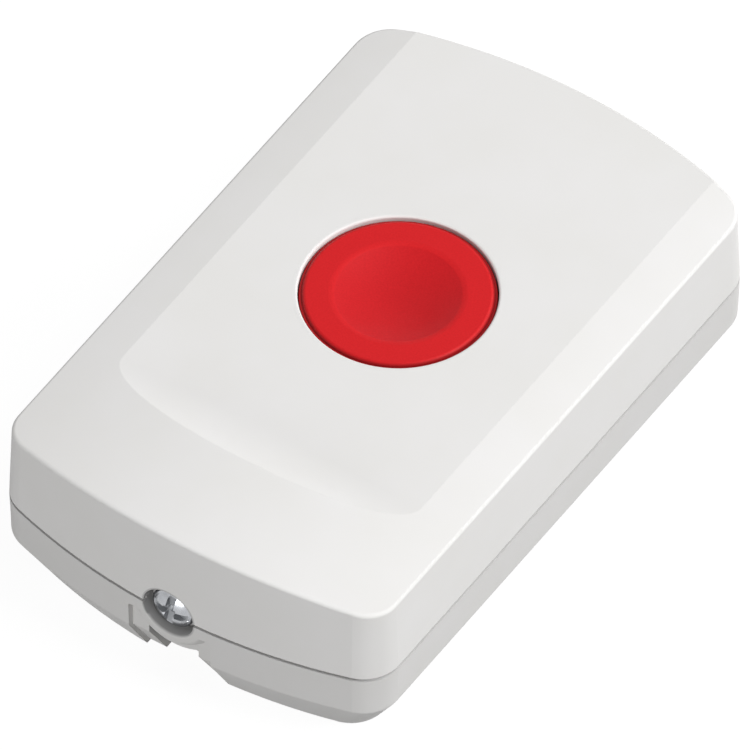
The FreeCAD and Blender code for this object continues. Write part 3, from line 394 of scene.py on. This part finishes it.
def screw_head(head, dome, cross):
    """
    Top of a pan head in millimetres, crown at the origin, facing -Y, as a grid of points.

    The cross is given by a wing's half width, its reach and its depth. Over a point (u, v) of the
    grid the depth below the crown is that of a ball's cap. Where v is within a wing's foot it is
    the wing's floor instead, which falls from the wing's end to the middle, and the four inner
    corners are pressed down into facets. The second result tells which points were pressed down.
    """
    ball = (head ** 2 + dome ** 2) / (2.0 * dome)
    width, reach, deep = cross
    foot, foot_reach, edge = width * 0.76, reach * 0.72, head * shoulder
    half = np.concatenate([
        [0.0, foot * 0.5, foot, width],
        np.linspace(width, foot_reach, 5)[1:],
        np.linspace(foot_reach, reach, 4)[1:],
        np.linspace(reach, edge, 4)[1:],
    ])
    lines = np.concatenate([-half[:0:-1], half])
    u, v = np.meshgrid(lines, lines, indexing="ij")
    across, upward = np.abs(u), np.abs(v)
    outmost = np.maximum(across, upward)
    bend = np.clip((outmost - width) / (edge - width), 0.0, 1.0) ** 2
    to_circle = np.divide(outmost, np.hypot(u, v), out=np.ones_like(u), where=outmost > 0.0)
    pull = 1.0 - (1.0 - to_circle) * bend
    x, z = u * pull, v * pull
    depth = ball - np.sqrt(ball ** 2 - x ** 2 - z ** 2)
    crown = depth
    wing_end = ball - math.sqrt(ball ** 2 - reach ** 2)
    for along, sideways in ((across, upward), (upward, across)):
        floor = np.interp(along, [0.0, foot, foot_reach, reach],
                          [deep * 1.4, deep, deep * 0.85, wing_end])
        in_wing = (sideways < foot + hair) & (along < reach - hair)
        depth = np.where(in_wing, np.maximum(depth, floor), depth)
    corner = (np.abs(across - width) < hair) & (np.abs(upward - width) < hair)
    depth = np.where(corner, depth + deep * 0.35, depth)
    return np.stack([x, depth, z], axis=-1), depth > crown + pressed_in


print("grid of points on any head:", screw_head(1.0, 0.3, (0.2, 0.8, 0.3))[0].shape[:2])

# %% [markdown]
# Below the head come the rim, its flat underside and the shank. One array of radii and one of
# levels hold them all, and the thread is the last part of both: its radius depends on the level
# and on the angle, so the ridge climbs as it goes round.

# %% A whole screw
tip_length = 0.8  # mm over which the tip tapers


def screw_surface(head, dome, rim, cross, shank, length, pitch):
    """
    Pan-head screw in millimetres, crown at the origin, running along +Y, as points, faces and
    the share, 0 or 1, of each point that lies in the cross.

    The radius of the shank is its crest less the thread's depth times a triangle wave of
    (y / pitch - angle / turn). The groove fades in below the head, and the tip tapers.
    """
    top, pressed = screw_head(head, dome, cross)
    count = len(top)
    index = np.arange(count * count).reshape(count, count)
    ring = np.concatenate([index[0, :-1], index[:-1, -1], index[-1, :0:-1], index[:0:-1, 0]])
    top = top.reshape(-1, 3)
    angle = np.arctan2(top[ring, 2], top[ring, 0])

    edge, edge_depth, under = head * shoulder, top[ring, 1].mean(), dome + rim
    turn = np.radians([30.0, 60.0, 90.0])
    radii = np.concatenate([edge + (head - edge) * np.sin(turn),
                            [head, head * 0.97, shank * 1.15, shank]])
    levels = np.concatenate([edge_depth + (head - edge) * 1.15 * (1.0 - np.cos(turn)),
                             [under - head * 0.03, under, under, under + shank * 0.15]])
    y = np.linspace(under + shank * 0.2, under + length, int(length / pitch * 10))
    fade = np.clip((y - y[0]) / pitch, 0.0, 1.0)[:, None]
    taper = np.clip((y - y[-1] + tip_length) / tip_length, 0.0, 1.0)[:, None]
    phase = (y[:, None] / pitch - angle / (2.0 * math.pi)) % 1.0
    groove = np.clip(1.15 - 1.25 * np.abs(2.0 * phase - 1.0), 0.0, 1.0)
    thread = (shank - 0.5 * pitch * fade * groove) * (1.0 - 0.4 * taper)
    radius = np.concatenate([np.repeat(radii[:, None], len(angle), axis=1), thread])
    level = np.repeat(np.concatenate([levels, y])[:, None], len(angle), axis=1)
    body = np.stack([radius * np.cos(angle), level, radius * np.sin(angle)], axis=-1)

    rows, columns = radius.shape
    start, end = len(top), len(top) + rows * columns
    here = np.arange(columns)
    after = (here + 1) % columns
    collar = np.stack([ring, ring[after], start + after, start + here], axis=-1)
    sides = grid_faces(rows, columns, close_columns=True)[:, ::-1] + start
    tip = np.stack([end - columns + here, end - columns + after, np.full(columns, end)], axis=-1)
    points = np.concatenate([top, body.reshape(-1, 3), [[0.0, under + length, 0.0]]])
    faces = grid_faces(count, count).tolist() + collar.tolist() + sides.tolist() + tip.tolist()
    in_cross = np.concatenate([pressed.reshape(-1), np.zeros(len(points) - len(top))])
    return points, faces, in_cross


print("screw surface ready")

# %% [markdown]
# The finished shapes are turned and set in place as arrays, and several screws make one object.
# Two numbers stay with every point: the distance from its own screw's axis, which carries the
# rings that turning leaves, and whether it lies in the cross, where the punch leaves duller metal.

# %% Placing screws


def turned(points, degrees):
    """Points turned about the Y axis."""
    angle = math.radians(degrees)
    x, y, z = points.T
    return np.stack([x * math.cos(angle) + z * math.sin(angle), y,
                     z * math.cos(angle) - x * math.sin(angle)], axis=-1)


def screw_object(name, copies):
    """One object of several placed screws, with each point's distance from its own axis and its
    share in the cross."""
    points, faces, distance, cross = [], [], [], []
    for (shape, shape_faces, in_cross), placed in copies:
        offset = sum(len(p) for p in points)
        points.append(placed)
        faces += [[corner + offset for corner in face] for face in shape_faces]
        distance.append(np.hypot(shape[:, 0], shape[:, 2]))
        cross.append(in_cross)
    piece = mesh_object(name, np.concatenate(points) * MM, faces, sharp_above=32.0)
    for label, values in (("from_axis", distance), ("in_cross", cross)):
        layer = piece.data.attributes.new(label, "FLOAT", "POINT")
        layer.data.foreach_set("value", np.concatenate(values).astype(np.float32))
    print(name, "points:", len(piece.data.vertices), "faces:", len(piece.data.polygons))
    return piece


print("placing ready")

# %% [markdown]
# The closing screw lies on the parting line, a 3 mm screw of half a millimetre pitch with a 5.4 mm
# head. The four board screws stand upright near the board's corners. Each is turned a little
# differently, as a hand leaves them.

# %% The closing screw and the four board screws
dome, rim, closing_length = 1.05, 1.0, 9.5
screw = screw_surface(head=2.72, dome=dome, rim=rim, cross=(0.52, 2.3, 0.9), shank=1.5,
                      length=closing_length, pitch=0.5)
crown_y = screw_high[1] - closing_length - dome - rim
placed = turned(screw[0], 6.0) + np.array([0.0, crown_y, parting_mm])
fine_closing_screw = screw_object("fine_closing_screw", [(screw, placed)])
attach(fine_closing_screw, "housing")
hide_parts("closing_screw")

low, high = corner_mm("board_screws")
head, dome, rim = 2.0, 0.6, 0.8
screw = screw_surface(head=head, dome=dome, rim=rim, cross=(0.3, 1.3, 0.75), shank=1.1,
                      length=high[2] - low[2] - dome - rim, pitch=0.8)
copies = []
for x, y, degrees in ((low[0] + head, low[1] + head, 20.0), (high[0] - head, low[1] + head, 47.0),
                      (low[0] + head, high[1] - head, 5.0), (high[0] - head, high[1] - head, 71.0)):
    local = turned(screw[0], degrees)
    upright = np.stack([local[:, 0] + x, local[:, 2] + y, high[2] - local[:, 1]], axis=-1)
    copies.append((screw, upright))
fine_board_screws = screw_object("fine_board_screws", copies)
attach(fine_board_screws, "housing")
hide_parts("board_screws")
print("crown of the closing screw at y, mm:", round(float(crown_y), 2))

# %% [markdown]
# Zinc-plated steel is bright, with fine rings from turning. In the cross it is rougher from the
# punch, and its colour is darker as painted shade in the recess, so the eye reads the cross as
# one even grey against the mirror of the dome.

# %% Steel of the screws
turned_steel = Finish("turned_steel", (168, 170, 173), 0.2, metallic=1.0)
rings = turned_steel.add("ShaderNodeTexNoise", noise_dimensions="1D", Scale=9.0, Detail=3.0)
distance = turned_steel.add("ShaderNodeAttribute", attribute_name="from_axis")
turned_steel.join(distance.outputs["Fac"], rings.inputs["W"])
in_cross = turned_steel.add("ShaderNodeAttribute", attribute_name="in_cross").outputs["Fac"]
matt = turned_steel.math("MULTIPLY", in_cross, 0.3)
rough = turned_steel.math("ADD", turned_steel.span(rings.outputs["Fac"], 0.2, 0.32), matt)
turned_steel.join(rough, turned_steel.shader.inputs["Roughness"])
steel = turned_steel.tint(0.9, (170, 172, 175), (158, 160, 164))
# painted shade: the metal's colour is darker in the cross
turned_steel.join(turned_steel.mix(in_cross, steel, linear(140, 142, 145)),
                  turned_steel.shader.inputs["Base Color"])
turned_steel.bump(rings.outputs["Fac"], 0.001, 0.25)
for piece in (fine_closing_screw, fine_board_screws):
    piece.data.materials.append(turned_steel.material)
print("screws wear:", turned_steel.material.name)

# %% [markdown]
# ## The ring round the closing screw
#
# The photograph shows the mouth of the screw's well standing flush with the front wall, also
# below, where the recess is cut away beside it: the moulding carries half a ring there, with a
# soft inner lip and a sloping outer flank. It is a profile carried round the screw's line through
# the lower half turn. Depths are measured inwards from the bowed and drafted front wall, so the
# ring's face lies in the wall's own surface, two hundredths of a millimetre behind it.

# %% Ring round the closing screw
front_y, bow_radius, base_draft = -41.1, 75.6, 0.0316
behind_wall = 0.02


def front_wall(x, below):
    """Front wall at x and at a height below the parting line, mm: an arc, moved in by the draft."""
    return front_y + bow_radius - np.sqrt(bow_radius ** 2 - x ** 2) + base_draft * below


def half_ring(inner, flank, outer, lip, floor, back, ends=(355.5, 184.5), turns=49):
    """
    Half a ring below the screw's line in millimetres, as points and faces.

    Each point of the profile has a radius and a depth behind the front wall: up the inner wall,
    round a quarter-circle lip, along the face, and down a flank whose depth follows half a
    cosine wave. The profile turns between two angles just under the parting line.
    """
    swing = np.radians(np.linspace(0.0, 90.0, 7))
    slope = np.linspace(0.0, 1.0, 13)
    radius = np.concatenate([[inner, inner], inner + lip * (1.0 - np.cos(swing[1:])), [flank],
                             flank + (outer - flank) * slope[1:], [outer]])
    depth = np.concatenate([[back, lip], lip * (1.0 - np.sin(swing[1:])), [0.0],
                            floor * (1.0 - np.cos(math.pi * slope[1:])) / 2.0, [back]])
    angle = np.radians(np.linspace(*ends, turns))[:, None]
    x, z = radius * np.cos(angle), radius * np.sin(angle)
    points = np.stack([x, front_wall(x, -z) + behind_wall + depth, z], axis=-1)
    count = len(radius)
    first, last = list(range(count)), list(range((turns - 1) * count, turns * count))
    faces = grid_faces(turns, count, close_columns=True).tolist() + [first, last[::-1]]
    return points.reshape(-1, 3), faces


ring_points, ring_faces = half_ring(inner=3.34, flank=4.3, outer=5.8, lip=0.3, floor=1.22, back=1.75)
screw_ring = mesh_object("screw_ring", (ring_points + [0.0, 0.0, parting_mm]) * MM, ring_faces,
                         sharp_above=50.0)
screw_ring.data.materials.append(base_plastic.material)
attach(screw_ring, "housing")
print("ring round the screw, mm:", np.round(np.ptp(ring_points, axis=0), 2).tolist())

# %% [markdown]
# ## The lip of the button's bore
#
# The eye rests on the edge where white meets red, so the rounded lip of the bore is made with
# more points than the solid's mesh has. It is a thin ring let into the cover: its round is the
# bore's own, and its top runs out flush with the flat panel. Its profile is a closed line of
# radius and height, and turning that line about the bore's middle makes the ring.

# %% Lip of the bore
quarter = np.radians(np.linspace(0.0, 90.0, 9))


def closed_ring(name, radius, height, middle_y, turns=192):
    """
    A ring about a vertical line, given in millimetres.

    The closed profile of radius and height is carried through a full turn: each of its points
    becomes a circle, and each circle is joined to the next, the last one to the first.
    """
    angle = np.radians(np.linspace(0.0, 360.0, turns, endpoint=False))
    around = np.append(np.arange(len(radius)), 0)
    radius, height = radius[around][:, None], height[around][:, None]
    x, y, z = np.broadcast_arrays(radius * np.cos(angle), middle_y + radius * np.sin(angle), height)
    points = np.stack([x, y, z], axis=-1)
    faces = grid_faces(len(around), turns, close_columns=True) % (turns * (len(around) - 1))
    return mesh_object(name, points[:-1] * MM, faces.tolist(), sharp_above=50.0)


def bore_lip(inner, rounding, panel, width=0.35, down=0.9):
    """Profile of the lip, mm: up the bore's wall, outwards over a quarter circle, a hairline above
    the panel that runs out to almost nothing, and back through the plastic."""
    outer = inner + rounding + width
    proud, run_out, edge = 0.01, 0.002, -0.1  # heights above the panel
    radius = np.concatenate([[inner], inner + rounding * (1.0 - np.cos(quarter)),
                             [outer, outer, inner + rounding]])
    height = np.concatenate([[-down], rounding * (np.sin(quarter) - 1.0) + proud,
                             [run_out, edge, -down]])
    return radius, height + panel


panel_mm = 23.05  # height of the flat panel above the back
button_y = float(cap_middle[1])
lip_profile = bore_lip(inner=11.2, rounding=0.27, panel=panel_mm)
button_lip = closed_ring("button_lip", *lip_profile, button_y)
button_lip.data.materials.append(cover_plastic.material)
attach(button_lip, "housing")
print("lip of the bore, points:", len(button_lip.data.vertices))

# %% [markdown]
# ## The ledge round the button's face
#
# A dark line runs round the face of the cap, and outside it lies a narrow band of lighter red:
# the face rolls over into a small step, and a ledge three tenths of a millimetre wide fills the
# gap to the bore. Both the dark line and the ledge's red are partly painted shade in the cap's
# colour. The ledge moves with the cap, a seventh of a millimetre clear of the bore's wall.

# %% Ledge of the cap


def cap_ledge(inner, outer, top, rounding, down=1.0):
    """Profile of the ledge, mm: up inside the cap's own plastic, out along the ledge, over the
    quarter circle of its edge and down its outer wall."""
    radius = np.concatenate([[inner, inner], outer - rounding * (1.0 - np.sin(quarter)), [outer]])
    height = np.concatenate([[-down, 0.0], rounding * (np.cos(quarter) - 1.0), [-down]])
    return radius, height + top


ledge_below_face = 0.4
ledge_profile = cap_ledge(inner=10.5, outer=11.05, top=float(cap_high[2]) - ledge_below_face,
                          rounding=0.12)
button_ledge = closed_ring("button_ledge", *ledge_profile, button_y)
button_ledge.data.materials.append(button_red.material)
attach(button_ledge, "button")
print("ledge of the cap, points:", len(button_ledge.data.vertices))

# %% [markdown]
# ## What is inside
#
# The housing hides a circuit board, a cell and their small parts. They are finished too, because
# each piece of this model can be used or shown alone. Most of them take the general moulded
# finish; the board, the cell and the foam have patterns of their own.

# %% Moulded parts inside


def moulded(name, colour, roughness, grain, relief=0.003):
    """Plain moulded or fired part: slight clouds of colour and gloss over a fine grain."""
    part = Finish(name, colour, roughness)
    part.tint(1.2, colour, tuple(int(c * 0.94) for c in colour))
    part.sheen_map(0.8, roughness - 0.05, roughness + 0.08)
    part.bump(part.noise(grain, 3.0), relief, 0.4)
    return part


mouldings = (
    ("black_plastic", (32, 32, 34), 0.45, 0.25,
     ["switch_body", "tamper_switch_body", "radio_chip", "processor_body", "capacitor_base",
      "header_block", "jumper_cap"]),
    ("stem_plastic", (196, 190, 174), 0.4, 0.25, ["switch_plunger", "tamper_switch_plunger"]),
    ("chip_ceramic", (128, 104, 80), 0.5, 0.1, ["chip_parts"]),
)
for name, colour, roughness, grain, wearers in mouldings:
    moulded(name, colour, roughness, grain).wear(*wearers)
print("moulded finishes:", len(mouldings), "on nodes:", sum(len(row[-1]) for row in mouldings))

# %% [markdown]
# The indicator is a small red lens that lets light through: mostly transmission, a smooth skin,
# and slight clouds in the resin.

# %% Lens of the indicator
lamp_lens = Finish("lamp_lens", (150, 24, 22), 0.12, IOR=1.5)
lamp_lens.set("Transmission Weight", 0.75)
lamp_lens.tint(1.0, (158, 28, 24), (138, 20, 20))
lamp_lens.bump(lamp_lens.noise(0.5), 0.001, 0.2)
lamp_lens.wear("indicator_led")
print("lens finished")

# %% [markdown]
# ### Foam strip
#
# The strip that keeps the cell quiet is open-cell foam. A Voronoi pattern gives round cells with
# thin walls, and its distance, used as height, sinks each cell below its rim. The middle of each
# cell is also painted darker than its rim, as painted shade.

# %% Foam
foam_cell_mm = 0.45
pad_foam = Finish("pad_foam", (70, 72, 76), 0.9)
cells = pad_foam.add("ShaderNodeTexVoronoi", Scale=1.0 / (foam_cell_mm * MM))
pad_foam.join(pad_foam.place, cells.inputs["Vector"])
pad_foam.bump(cells.outputs["Distance"], 0.12, 0.8)
# painted shade: the middles of the foam's cells are darker than their rims
near_rim = pad_foam.span(cells.outputs["Distance"], 0.0, 1.0, 0.0, 0.8)
foam_grey_and_pore_shade = pad_foam.mix(near_rim, linear(48, 50, 54), linear(92, 94, 98))
pad_foam.join(foam_grey_and_pore_shade, pad_foam.shader.inputs["Base Color"])
pad_foam.wear("cell_foam_pad")
print("foam cells, mm:", foam_cell_mm)

# %% [markdown]
# ### Cell
#
# A lithium cell is a steel can in a shrink sleeve. The sleeve wraps a little over both ends, so
# the bare steel starts inside the rim. The distance from the cell's axis tells sleeve from steel,
# and the metal share of the shader follows the same mask.

# %% Cell sleeve with bare ends
cell_low, cell_high = corner_mm("battery_cell")
cell_middle = (cell_low + cell_high) / 2.0
cell_radius = (cell_high[2] - cell_low[2]) / 2.0
sleeve_wrap_mm = 1.6  # how far the sleeve wraps in over each end
cell_sleeve = Finish("cell_sleeve", (44, 66, 104), 0.32)
across = cell_sleeve.math("SUBTRACT", cell_sleeve.axis("Y"), float(cell_middle[1] * MM))
upward = cell_sleeve.math("SUBTRACT", cell_sleeve.axis("Z"), float(cell_middle[2] * MM))
square = cell_sleeve.math("ADD", cell_sleeve.math("MULTIPLY", across, across),
                          cell_sleeve.math("MULTIPLY", upward, upward))
from_axis = cell_sleeve.math("SQRT", square)
bare = cell_sleeve.math("LESS_THAN", from_axis, float((cell_radius - sleeve_wrap_mm) * MM))
clouds = cell_sleeve.span(cell_sleeve.noise(3.0), 0.0, 1.0)
wrap = cell_sleeve.mix(clouds, linear(44, 66, 104), linear(38, 58, 94))
cell_sleeve.join(cell_sleeve.mix(bare, wrap, linear(190, 191, 193)),
                 cell_sleeve.shader.inputs["Base Color"])
cell_sleeve.join(bare, cell_sleeve.shader.inputs["Metallic"])
cell_sleeve.bump(cell_sleeve.noise(1.4, 2.0), 0.01, 0.3)
cell_sleeve.wear("battery_cell")
print("cell radius, mm:", round(float(cell_radius), 2))

# %% [markdown]
# ### Circuit boards
#
# Solder mask lies as a thin coloured film over copper. Where copper runs beneath, the film stands
# a few hundredths of a millimetre proud and looks lighter. The lines between the bricks of a
# brick pattern stand for the runs of copper, and the woven glass shows as a faint weave.

# %% Board finishes


def board_finish(name, mask, copper, step):
    """Solder mask over copper: lighter raised lines, with the glass weave under the film. The
    bricks between the lines are 1.7 steps long and 0.42 high, and a step is given in mm."""
    board = Finish(name, mask, 0.3)
    runs = board.add("ShaderNodeTexBrick", Scale=1.0 / (step * MM), offset=0.5, Mortar_Size=0.05,
                     Brick_Width=1.7, Row_Height=0.42)
    board.join(board.place, runs.inputs["Vector"])
    weave = board.add("ShaderNodeTexWave", Scale=1.0 / (0.6 * MM), bands_direction="DIAGONAL")
    board.join(board.place, weave.inputs["Vector"])
    film = board.mix(board.span(weave.outputs["Fac"], 0.0, 0.25, 0.0, 1.0), linear(*mask),
                     linear(*[int(c * 1.15) for c in mask]))
    colour = board.mix(runs.outputs["Fac"], film, linear(*copper))
    board.join(colour, board.shader.inputs["Base Color"])
    low = board.bump(weave.outputs["Fac"], 0.002, 0.2)
    board.bump(runs.outputs["Fac"], 0.03, 0.6, after=low)
    return board


board_finish("board_green", (22, 84, 52), (44, 118, 74), 3.0).wear("circuit_board")
board_finish("radio_board_blue", (22, 52, 110), (48, 84, 150), 2.1).wear("radio_board")
print("boards finished")

# %% [markdown]
# ## Floor
#
# The object rests on a plain pale floor. The photograph's ground is pure white, so what the
# camera sees of the floor is mostly its own white, with a small share that still takes light:
# that share keeps the object's soft shadow. Reflections see a floor of white paint with a little
# light of its own, bright in the open and dimmer close to the object, so the screw's dome and the
# bevel near the floor pick up light and dark from it. The light that bounces off the floor is
# kept low, because the photographed object shows very little of it below.

# %% Floor
floor_half_m, floor_below_mm = 2.5, 0.05


def flat_surface(half, height, count=9):
    """A square grid of points at one height, in metres: x and y run from -half to half."""
    steps = np.linspace(-half, half, count)
    x, y = np.meshgrid(steps, steps, indexing="ij")
    return np.stack([x, y, np.full_like(x, height)], axis=-1)


floor_points = flat_surface(floor_half_m, -floor_below_mm * MM)
floor = mesh_object("floor", floor_points, grid_faces(*floor_points.shape[:2]).tolist())
print("floor reaches, m:", floor_half_m)

# %% [markdown]
# The paint of the floor asks which kind of ray meets it. The camera sees a veil of grey paint
# that takes the shadow, with white light of its own added. A mirrored or transmitted ray sees
# white paint with a little light, and all other rays meet dark paint.

# %% Paint of the floor
floor_paint = bpy.data.materials.new("floor_paint")
floor_paint.use_nodes = True
paint = floor_paint.node_tree
paint.nodes.clear()


def loose_node(tree, kind, **settings):
    """A node of any tree; settings that name a socket are written to it."""
    node = tree.nodes.new(kind)
    for key, value in settings.items():
        node.inputs[key.replace("_", " ")].default_value = value
    return node


def either(tree, first, second):
    """The larger of two outputs: 1 where a ray is of the one kind or of the other."""
    node = tree.nodes.new("ShaderNodeMath")
    node.operation = "MAXIMUM"
    tree.links.new(first, node.inputs[0])
    tree.links.new(second, node.inputs[1])
    return node.outputs[0]


def matt_grey(level):
    """Plain diffuse paint."""
    return loose_node(paint, "ShaderNodeBsdfDiffuse", Color=(level, level, level, 1.0)).outputs[0]


def white_light(strength):
    """Light that the floor itself gives off."""
    return loose_node(paint, "ShaderNodeEmission", Color=(1.0, 1.0, 1.0, 1.0),
                      Strength=strength).outputs[0]


def added(first, second):
    """Sum of two shaders."""
    node = loose_node(paint, "ShaderNodeAddShader")
    paint.links.new(first, node.inputs[0])
    paint.links.new(second, node.inputs[1])
    return node.outputs[0]


def chosen(share, first, second):
    """One shader where share is 0 and another where it is 1."""
    node = loose_node(paint, "ShaderNodeMixShader")
    paint.links.new(share, node.inputs["Fac"])
    paint.links.new(first, node.inputs[1])
    paint.links.new(second, node.inputs[2])
    return node.outputs[0]


rays = loose_node(paint, "ShaderNodeLightPath").outputs
mirrored = either(paint, rays["Is Glossy Ray"], rays["Is Transmission Ray"])
unseen = chosen(mirrored, matt_grey(0.05), added(matt_grey(0.9), white_light(0.4)))
whole = chosen(rays["Is Camera Ray"], unseen, added(matt_grey(0.12), white_light(0.93)))
paint.links.new(whole, loose_node(paint, "ShaderNodeOutputMaterial").inputs["Surface"])
floor.data.materials.append(floor_paint)
print("nodes in the paint of the floor:", len(paint.nodes))

# %% [markdown]
# ## Light
#
# The dish of the button is bright on its left side and dark on its right, and the cover's right
# shoulder is the lightest white: the main light comes from the right, a little behind, with a
# higher and a lower lamp beside it. The front end tells of one more: below the crown's front lip
# the scoop carries a soft shadow, and the parting groove is dark there, so a wide lamp stands low
# in front. Its reflection is the bright crescent on the screw's dome. The even light that is left
# comes from the world. The strengths were worked out from grey levels at some eighty places.

# %% Lamps
aim = Vector((-0.619, 0.805, 12.2)) * MM  # the point in the middle of the picture


def direction(azimuth, elevation):
    """Unit vector away from the object, from angles in degrees: azimuth 0 is the front, 90 the
    right-hand side and 180 the back, and elevation 90 is straight up."""
    a, e = math.radians(azimuth), math.radians(elevation)
    return Vector((math.sin(a) * math.cos(e), -math.cos(a) * math.cos(e), math.sin(e)))


def lamp(name, azimuth, elevation, size, power, distance=1.0):
    """An area lamp, its width and height in metres, that looks at the object from a direction."""
    outwards = direction(azimuth, elevation)
    data = bpy.data.lights.new(name, "AREA")
    data.shape = "RECTANGLE"
    data.size, data.size_y = size
    data.energy = power
    light = bpy.data.objects.new(name, data)
    light.location = aim + outwards * distance
    light.rotation_euler = (-outwards).to_track_quat("-Z", "Y").to_euler()
    light.visible_camera = False
    bpy.context.scene.collection.objects.link(light)


lamp("key_lamp", 95.0, 38.0, (0.35, 0.35), 5.0)
lamp("high_lamp", 125.0, 62.0, (0.35, 0.35), 2.2)
lamp("back_lamp", 150.0, 14.0, (0.2, 0.2), 2.7)
lamp("front_lamp", 6.0, 5.5, (0.5, 0.18), 3.5)
print("lamps:", len(bpy.data.lights))

# %% [markdown]
# The world is white for the camera and for mirrored and transmitted rays, which gives the white
# ground of the photograph. For the rays that light the object it is dimmer.

# %% World
world = bpy.data.worlds.new("studio")
bpy.context.scene.world = world
world.use_nodes = True
sky = world.node_tree
background = sky.nodes["Background"]
background.inputs["Color"].default_value = (1.0, 1.0, 1.0, 1.0)
rays = loose_node(sky, "ShaderNodeLightPath").outputs
direct = either(sky, rays["Is Camera Ray"], rays["Is Transmission Ray"])
level = loose_node(sky, "ShaderNodeMapRange", To_Min=0.39, To_Max=1.0)
sky.links.new(either(sky, direct, rays["Is Glossy Ray"]), level.inputs["Value"])
sky.links.new(level.outputs["Result"], background.inputs["Strength"])
print("world on the object:", round(level.inputs["To Min"].default_value, 2))

# %% [markdown]
# ## Camera
#
# The photograph is almost a parallel projection: its edges stay parallel. A very long lens from
# four metres gives the same picture. Its direction, distance and aim were worked out from the
# corners of the housing and the outline of the button.

# %% Camera
outwards = direction(33.949, 48.513)
camera_distance = 3.9312
lens = bpy.data.cameras.new("camera")
lens.lens = 1700.0
lens.sensor_width = 36.0
lens.clip_start = 0.5
lens.clip_end = 20.0
camera = bpy.data.objects.new("camera", lens)
camera.location = aim + outwards * camera_distance
camera.rotation_mode = "QUATERNION"
camera.rotation_quaternion = (-outwards).to_track_quat("-Z", "Y")
bpy.context.scene.collection.objects.link(camera)
bpy.context.scene.camera = camera
bpy.context.scene.view_settings.view_transform = "Standard"
print("camera at, m:", [round(c, 3) for c in camera.location])
